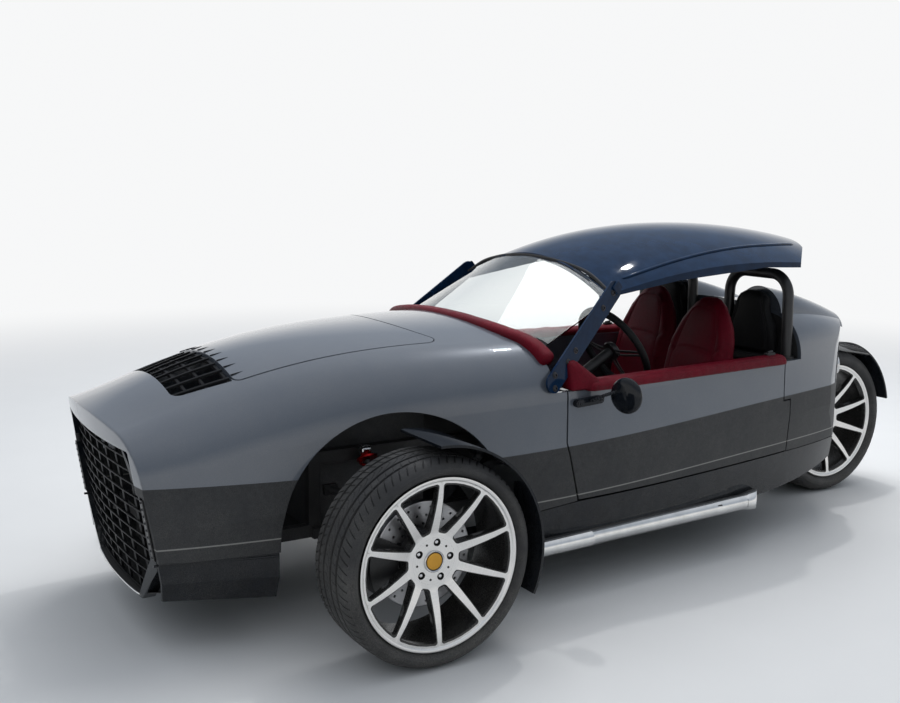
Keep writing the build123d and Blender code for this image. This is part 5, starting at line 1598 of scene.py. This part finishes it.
def sewn(name, paths, towards, made, finishes, offset=0.0042):
    """Piping along seam lines laid on a padded piece, with a row of stitches on each side of it."""
    tree = tree_of(made)
    back = -np.asarray(towards, float)
    parts = []
    for path in paths:
        path = over(path, towards, tree)
        line = laid(path, towards, tree, 0.0002)
        parts.append(tube(curve_through(line[::3], len(line) * 3), 0.0019, 8, up=back))
        for side in (-1, 1):
            beside = laid(path + side * offset * sideways_of(path, towards), towards, tree, 0.0002)
            parts.append(stitches(beside, back))
    return piece(name, parts, finishes, "chassis")


SEAT_X = 0.240
SEATS = (("left", 1, FRONT_Y + 1.520), ("right", -1, FRONT_Y + 1.655))
# The back's half width and half depth against height, the cushion's seams as y before the seat's own place
BACK_RISE = (0.395, 0.983)
BACK_WIDE = np.array([(0.395, 0.140), (0.415, 0.172), (0.47, 0.187), (0.60, 0.190), (0.73, 0.187),
                      (0.81, 0.172), (0.87, 0.148), (0.92, 0.116), (0.955, 0.083), (0.975, 0.052),
                      (0.983, 0.025)]).T
BACK_DEEP = np.array([(0.395, 0.026), (0.415, 0.044), (0.50, 0.050), (0.74, 0.046), (0.90, 0.034),
                      (0.955, 0.025), (0.975, 0.016), (0.983, 0.008)]).T
CUSHION_SEAMS = (0.18, 0.31, 0.44)
# Rings of the plinth as (scale, height)
PLINTH = ((0.985, 0.291), (1.0, 0.295), (1.0, 0.326), (0.97, 0.332), (0.02, 0.332))
RED_SEAM = ["red_hide", "red_thread"]


def seat_back(name, x0, seat_y):
    """The back narrows to its top, with one panel seam: two sides and an arch over them."""
    rise = crowded(*BACK_RISE, 30)
    wide, deep = np.interp(rise, *BACK_WIDE), np.interp(rise, *BACK_DEEP)
    lean = seat_y - 0.060 + 0.222 * (rise - 0.400) + 0.058
    centres = np.stack([np.full(30, x0), lean, rise], -1)
    form = pad_form(centres, wide, deep, (0, -0.976, 0.217), 2.6, 0.009)
    heights = 0.47 + 0.44 * np.linspace(0, 1, 40)
    half = 0.60 * np.interp(heights, rise, wide)
    top = np.linspace(0, pi, 25)[1:-1]
    seam = np.concatenate([
        np.stack([x0 - half, 0 * half, heights], -1),
        np.stack([x0 - half[-1] * np.cos(top), 0 * top, heights[-1] + 0.030 * np.sin(top)], -1),
        np.stack([x0 + half, 0 * half, heights], -1)[::-1],
    ])
    seam[:, 1] = seat_y - 0.3
    pressed = seam.copy()
    pressed[:, 1] = np.interp(pressed[:, 2], rise, lean - deep)
    back = swollen("seat_back_" + name, form, 0.0075, 0.012, [pressed], 0.0032, 0.010)
    dressed(back, "red_hide", "red_leather", 0.85, "seat_" + name)
    sewn("seat_back_seams_" + name, [seam], (0, 1, 0), back, RED_SEAM)


def seat_cushion(name, x0, seat_y):
    """A long cushion that falls a little to the rear, with three seams across it."""
    run = crowded(seat_y - 0.570, seat_y - 0.025, 26)
    share = (run - run[0]) / (run[-1] - run[0])
    wide = 0.186 * np.clip(1 - (2 * np.abs(share - 0.5)) ** 9, 0.3, 1)
    deep = 0.047 * np.clip(1 - (2 * np.abs(share - 0.5)) ** 7, 0.22, 1)
    centres = np.stack([np.full(26, x0), run, 0.384 - 0.036 * share], -1)
    form = pad_form(centres, wide, deep, (0, 0.07, 0.9975), 2.8, 0.012)
    across = [
        evenly([(x0 - 0.125, seat_y - y, 0.6), (x0 + 0.125, seat_y - y, 0.6)], 40)
        for y in CUSHION_SEAMS
    ]
    pressed = [line.copy() for line in across]
    for flat in pressed:
        flat[:, 2] = np.interp(flat[:, 1], run, centres[:, 2] + deep)
    base = swollen("seat_cushion_" + name, form, 0.0075, 0.012, pressed, 0.006, 0.010)
    dressed(base, "red_hide", "red_leather", 0.8)
    sewn("seat_cushion_seams_" + name, across, (0, 0, -1), base, RED_SEAM)


def seat_plinth(name, x0, seat_y):
    """A moulded base under the cushion: a round-cornered outline drawn in at its foot and top."""
    loop = rounded_loop([(-0.180, -0.555), (0.180, -0.555), (0.180, 0.070), (-0.180, 0.070)], [0.03] * 4, 18)
    rings = [
        np.stack([x0 + scale * loop[:, 0], seat_y + loop[:, 1] * (1 if scale > 0.5 else scale),
                  np.full(len(loop), z)], -1)
        for scale, z in PLINTH
    ]
    base = grid(rings, wrap_v=True)
    piece("seat_plinth_" + name, [base], ["moulded_black"], "chassis")


class CAR_OT_seats(bpy.types.Operator):
    """Two bucket seats: tall pear-shaped backs and long cushions in red hide, piped and stitched."""

    bl_idname = "car.seats"
    bl_label = "Seats"
    bl_options = {"REGISTER", "UNDO"}

    def execute(self, context):
        """A back, a cushion and a plinth for each seat, the left one further forward."""
        for name, side, seat_y in SEATS:
            for build in (seat_back, seat_cushion, seat_plinth):
                build(name, side * SEAT_X, seat_y)
        return {"FINISHED"}


HEADREST_X = 0.247
# A headrest's half width and half depth against height
HEADREST_WIDE = np.array([(0.737, 0.120), (0.75, 0.132), (0.80, 0.134), (0.85, 0.128), (0.89, 0.108),
                          (0.92, 0.094), (0.96, 0.086), (0.98, 0.074), (0.993, 0.048), (1.0, 0.020)]).T
HEADREST_DEEP = np.array([(0.737, 0.016), (0.75, 0.028), (0.80, 0.031), (0.96, 0.029),
                          (0.985, 0.020), (1.0, 0.007)]).T


class CAR_OT_headrests(bpy.types.Operator):
    """Bottle-shaped headrest pads on the bulkhead in black hide."""

    bl_idname = "car.headrests"
    bl_label = "Headrests"
    bl_options = {"REGISTER", "UNDO"}

    def execute(self, context):
        """Width falls from the shoulders to a narrow round head, as a table against height."""
        low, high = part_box("headrests")
        rise = crowded(low[2] + 0.004, high[2] - 0.006, 26)
        wide, deep = np.interp(rise, *HEADREST_WIDE), np.interp(rise, *HEADREST_DEEP)
        for name, side in SIDES:
            x0 = side * HEADREST_X
            centres = np.stack([np.full(26, x0), np.full(26, (low[1] + high[1]) / 2), rise], -1)
            form = pad_form(centres, wide, deep, (0, -1, 0), 2.5)
            edge = np.stack([
                np.concatenate([x0 - 0.72 * wide, x0 + 0.72 * wide[::-1]]), np.full(52, low[1] + 0.007),
                np.concatenate([rise, rise[::-1]]),
            ], -1)[3:-3]
            seam = curve_through(edge[::3], 120)
            pressed = seam.copy()
            pressed[:, 1] = low[1] + 0.010
            seam[:, 1] = low[1] - 0.3
            pad = swollen("headrest_" + name, form, 0.006, 0.007, [pressed], 0.003, 0.007)
            dressed(pad, "black_hide", "black_leather", 0.9, *(["headrests"] if side > 0 else []))
            finishes = ["black_hide", "black_thread"]
            sewn("headrest_seams_" + name, [seam], (0, 1, 0), pad, finishes)
        return {"FINISHED"}


def padded_roll(path, half_width, height, ends=0.03, under_z=-0.004):
    """A roll of padding: a crowned section carried along a path, puckered and rounded off at its ends."""
    angle = np.linspace(0, pi, 25)
    crown = half_width * np.sign(np.cos(angle)) * np.abs(np.cos(angle)) ** 0.8
    top = np.stack([crown, height * np.sin(angle) ** 0.8], -1)
    under = np.stack([np.linspace(-half_width * 0.93, half_width * 0.93, 9), np.full(9, under_z)], -1)
    reach = reach_along(path)
    edge = np.minimum(reach, reach[-1] - reach) / ends
    scale = np.sqrt(1 - np.clip(1 - edge, 0, 0.9995) ** 2)
    scale *= 1 + 0.010 * np.sin(61 * reach) * np.sin(17 * reach + 1) + 0.006 * np.sin(143 * reach)
    return carry(path, np.concatenate([top, under]), scale=scale)


DOOR_TOP_Z = 0.7355
LATCH_X = 0.500
# The wedge at the door's front upper corner: its outline as (y behind the front axle, z) with each corner's
# radius, its foot's height, how far it leans in with height, and its rings as (scale, x)
WEDGE = ((0.654, 0.738), (0.778, 0.738), (0.778, 0.768), (0.690, 0.836), (0.654, 0.838))
WEDGE_ROUNDS = (0.008, 0.010, 0.012, 0.014, 0.010)
WEDGE_FOOT, WEDGE_LEAN = 0.738, 0.30
WEDGE_RINGS = ((0.02, 0.548), (0.86, 0.549), (0.97, 0.554), (1.0, 0.562), (1.0, 0.602), (0.97, 0.611),
               (0.86, 0.617), (0.5, 0.6205), (0.02, 0.621))
# Rings of the latch's plate as (scale, rise), and its lever as (x, r)
LATCH_RINGS = ((1.0, 0.028), (1.0, 0.0385), (0.86, 0.0415), (0.02, 0.0420))
LATCH_LEVER = ((0.0, 0.004), (0.001, 0.0055), (0.026, 0.0055), (0.028, 0.0045), (0.0285, 0.0005))


def door_wedge(side):
    """The padded wedge: rings of its outline, each leaning in as x - lean * (z - foot)."""
    corner = rounded_loop(WEDGE, WEDGE_ROUNDS, 12)
    rings = []
    for scale, x in WEDGE_RINGS:
        y, z = (corner.mean(0) + scale * (corner - corner.mean(0))).T
        rings.append(np.stack([side * (x - WEDGE_LEAN * (z - WEDGE_FOOT)), FRONT_Y + y, z], -1))
    return grid(rings, wrap_v=True)


def door_latch(body, side, rear_y):
    """A small black pull latch on the door's inner top edge near its rear."""
    origin = np.array([side * LATCH_X, rear_y - 0.075, DOOR_TOP_Z])
    inward, along, upward = np.array([side, 0, 0]), np.array([0, 1, 0]), np.array([0, 0, 1])
    plate = stacked(rounded_box(0.024, 0.011, 0.006, 9), LATCH_RINGS, origin, along, inward, upward)
    lever = spun(LATCH_LEVER, 20, (side * LATCH_X, rear_y - 0.089, 0.7775), (0, 1, 0.12))
    piece("latch_" + body, [plate, lever], ["moulded_black"], body)


class CAR_OT_rolls(bpy.types.Operator):
    """Red padded rolls along the door tops and the cowl's edge, with stitched seams, and the latches."""

    bl_idname = "car.rolls"
    bl_label = "Padded rolls"
    bl_options = {"REGISTER", "UNDO"}

    def execute(self, context):
        """Crowned rolls along the CAD's own door top and along the arc of the cowl's edge."""
        down, up = (0, 0, -1), (0, 0, 1)
        for name, side in SIDES:
            node, body = "door_bolster_" + name, "door_" + name
            low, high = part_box(node)
            ends = [(side * 0.584, low[1] + 0.001, DOOR_TOP_Z), (side * 0.497, high[1] - 0.001, DOOR_TOP_Z)]
            path = evenly(ends, 160)
            parts = [padded_roll(path, 0.041, 0.0325), door_wedge(side)]
            made = piece("door_roll_" + name, parts, ["red_hide"], body)
            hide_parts(node)
            tree = tree_of(made)
            seam, thread = (
                laid(path[34:-6] + (side * s, 0, 0.3), down, tree, 0.0001) for s in (0.030, 0.0245)
            )
            parts = [tube(seam, 0.0011, 6), stitches(thread, up)]
            piece("door_roll_stitches_" + name, parts, RED_SEAM, body)
            door_latch(body, side, high[1])

        arc = np.linspace(-1, 1, 161)
        x = 0.560 * arc
        y = FRONT_Y + 0.504 + 0.120 * (x / 0.640) ** 2 + 0.006
        above = np.stack([x, y - 0.022, np.full(161, 1.3)], -1)
        path = laid(above, down, tree_of_node("front_body"), -0.004) + (0, 0.020, -0.006)
        path[:, 2] = evened(path[:, 2], 9) + 0.022 * arc**2
        roll = padded_roll(path, 0.032, 0.023, 0.025, -0.028)
        made = piece("cowl_roll", [roll], ["red_hide"], "chassis")
        line = laid(path[5:-5] + (0, 0.017, 0.2), down, tree_of(made), 0.0001)
        finishes = ["red_thread", "red_thread"]
        piece("cowl_roll_stitches", [stitches(line, up)], finishes, "chassis")
        return {"FINISHED"}


WHEEL_CENTRE = np.array([0.300, FRONT_Y + 1.090, 0.808])
WHEEL_LEAN = radians(29.4)
WHEEL_R = 0.170
THREAD_R = WHEEL_R - 0.0134
SPOKE_SECTION = ((-0.0036, -0.0024), (0.0036, -0.0024), (0.0046, 0.0), (0.0036, 0.0024),
                 (-0.0036, 0.0024), (-0.0046, 0.0))
WHEEL_HUB = ((-0.020, 0.001), (-0.020, 0.036), (-0.012, 0.0375), (-0.004, 0.034), (0.002, 0.030),
             (0.005, 0.022), (0.006, 0.001))


class CAR_OT_steering(bpy.types.Operator):
    """Steering wheel with a stitched rim, slotted spokes and a plain centre with six screws."""

    bl_idname = "car.steering"
    bl_label = "Steering wheel"
    bl_options = {"REGISTER", "UNDO"}

    def execute(self, context):
        """A torus about the column's axis, three bent spokes and a lathe hub, all turned on to the column."""
        axis = (0, cos(WHEEL_LEAN), sin(WHEEL_LEAN))
        turn = facing(axis)
        angle = np.linspace(0, 2 * pi, 145)[:-1]
        round_grip = np.linspace(0, 2 * pi, 24, endpoint=False)
        grip = (0.0132 + 0.0008 * np.exp(-((np.abs(np.sin(angle)) - 0.94) / 0.14) ** 2))[:, None]
        out = WHEEL_R + grip * np.cos(round_grip)[None]
        ring = np.stack([grip * np.sin(round_grip)[None] * 1.02, out * np.cos(angle)[:, None],
                         out * np.sin(angle)[:, None]], -1)
        parts = [grid(ring, wrap_u=True, wrap_v=True)]
        thread = np.stack([0 * angle, THREAD_R * np.cos(angle), THREAD_R * np.sin(angle)], -1)
        for shift in (-0.0016, 0.0016):
            row = thread + (shift, 0, 0)
            parts.append(stitches(np.concatenate([row, row[:3]]), (1, 0, 0), 0.0052, 0.0042, 0.0006))
        t = np.linspace(0, 1, 18)
        out = 0.030 + 0.130 * t
        for base in (0.0, pi, -pi / 2):
            bent = 0.004 - 0.020 * np.cos(t * pi / 2) ** 1.5
            path = np.stack([bent, out * np.cos(base), out * np.sin(base)], -1)
            across = np.array([0, -np.sin(base), np.cos(base)])
            for shift in (-0.0095, 0.0095):
                line = path + shift * (1 - 0.25 * t[:, None]) * across
                parts.append(carry(line, SPOKE_SECTION, up=(1, 0, 0), finish=2))
        parts.append(lathe(WHEEL_HUB, 64, finish=2))
        parts = [placed(part, WHEEL_CENTRE, turn) for part in parts]
        for i in range(6):
            spot = np.array([-0.0035, 0.031 * cos(i * pi / 3), 0.031 * sin(i * pi / 3)])
            parts.append(screw_head(0.0028, 0.0022, WHEEL_CENTRE + np.array(turn) @ spot, axis, 3))
        finishes = ["black_hide", "black_thread", "satin_black", "bright_metal"]
        made = piece("steering_wheel_rim", parts, finishes, "steering_wheel")
        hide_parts("steering_wheel")
        return {"FINISHED"}


# Gauges as (x, z, radius), bezels as (x, r beyond the radius), the needle's boss and a switch as (x, r)
GAUGES = ((0.300, 0.800, 0.052), (0.165, 0.792, 0.033), (0.400, 0.770, 0.033))
BEZEL = ((-0.002, 0.002), (0.006, 0.002), (0.009, 0), (0.009, -0.003), (0.003, -0.005))
BOSS = ((0.003, 0.0045), (0.007, 0.004), (0.0078, 0.0))
SWITCH = ((-0.001, 0.0075), (0.003, 0.0075), (0.0035, 0.0045), (0.004, 0.0022), (0.015, 0.0032),
          (0.0165, 0.0024), (0.017, 0.0))
DIAL_MARKS = np.linspace(radians(-40), radians(220), 14)


class CAR_OT_dash(bpy.types.Operator):
    """Three round gauges and a row of switches on the dashboard."""

    bl_idname = "car.dash"
    bl_label = "Dashboard"
    bl_options = {"REGISTER", "UNDO"}

    def execute(self, context):
        """Lathe bezels seated on the dashboard's rear face by casting rays at it."""
        tree = tree_of_node("dashboard")
        rearward = (0, 1, 0)
        parts = []
        for x, z, radius in GAUGES:
            at = laid([(x, FRONT_Y + 1.2, z)], (0, -1, 0), tree)[0]
            parts.append(spun([(x, radius + r) for x, r in BEZEL], 64, at, rearward))
            parts.append(spun([(0.003, radius - 0.005), (0.0032, 0.0)], 64, at, rearward, 1))
            for angle in DIAL_MARKS:
                line = [(0.0040, r * cos(angle), r * sin(angle)) for r in (radius - 0.012, radius - 0.0075)]
                mark = tube(evenly(line, 3), 0.0006, 4, up=(1, 0, 0), finish=2)
                parts.append(placed(mark, at, facing(rearward)))
            tip = (radius - 0.014) * 0.7
            line = evenly([(0.0052, 0.0, 0.0), (0.0052, -tip, tip)], 6)
            needle = tube(line, 0.0008, 6, up=(1, 0, 0), finish=3)
            parts += [placed(needle, at, facing(rearward)), spun(BOSS, 20, at, rearward)]
        for i in range(6):
            at = laid([(-0.020 - 0.034 * i, FRONT_Y + 1.2, 0.752)], (0, -1, 0), tree)[0]
            parts.append(spun(SWITCH, 20, at, (0, 1, 0.25), 4))
        finishes = ["satin_black", "moulded_black", "white_mark", "red_metal", "bright_metal"]
        piece("gauges", parts, finishes, "chassis")
        return {"FINISHED"}


OPERATORS = [
    CAR_OT_finishes, CAR_OT_wheels, CAR_OT_nose, CAR_OT_vent, CAR_OT_windshield, CAR_OT_roof,
    CAR_OT_mirrors, CAR_OT_exhausts, CAR_OT_springs, CAR_OT_lamps, CAR_OT_seats, CAR_OT_headrests,
    CAR_OT_rolls, CAR_OT_steering, CAR_OT_dash, CAR_OT_stage,
]


class CAR_PT_pieces(bpy.types.Panel):
    """Lists the pieces of the car in the sidebar."""

    bl_idname = "CAR_PT_pieces"
    bl_label = "Three-wheeled car"
    bl_space_type = "VIEW_3D"
    bl_region_type = "UI"
    bl_category = "Car"

    def draw(self, context):
        """One button for each operator, under its settings."""
        for settings in (context.scene.car_sizes, context.scene.car_colours):
            box = self.layout.box()
            for name in settings.__annotations__:
                box.prop(settings, name)
        for operator in OPERATORS:
            self.layout.operator(operator.bl_idname)


CLASSES = [CarColours, CarSizes, *OPERATORS, CAR_PT_pieces]


def register():
    """Registers the classes and their settings."""
    for made in CLASSES:
        bpy.utils.register_class(made)
    bpy.types.Scene.car_colours = PointerProperty(type=CarColours)
    bpy.types.Scene.car_sizes = PointerProperty(type=CarSizes)


def unregister():
    """Removes the settings and the classes."""
    del bpy.types.Scene.car_sizes
    del bpy.types.Scene.car_colours
    for made in reversed(CLASSES):
        bpy.utils.unregister_class(made)


def main():
    """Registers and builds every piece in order."""
    register()
    for operator in OPERATORS:
        getattr(bpy.ops.car, operator.bl_idname.split(".")[1])()


if __name__ == "__main__":
    main()
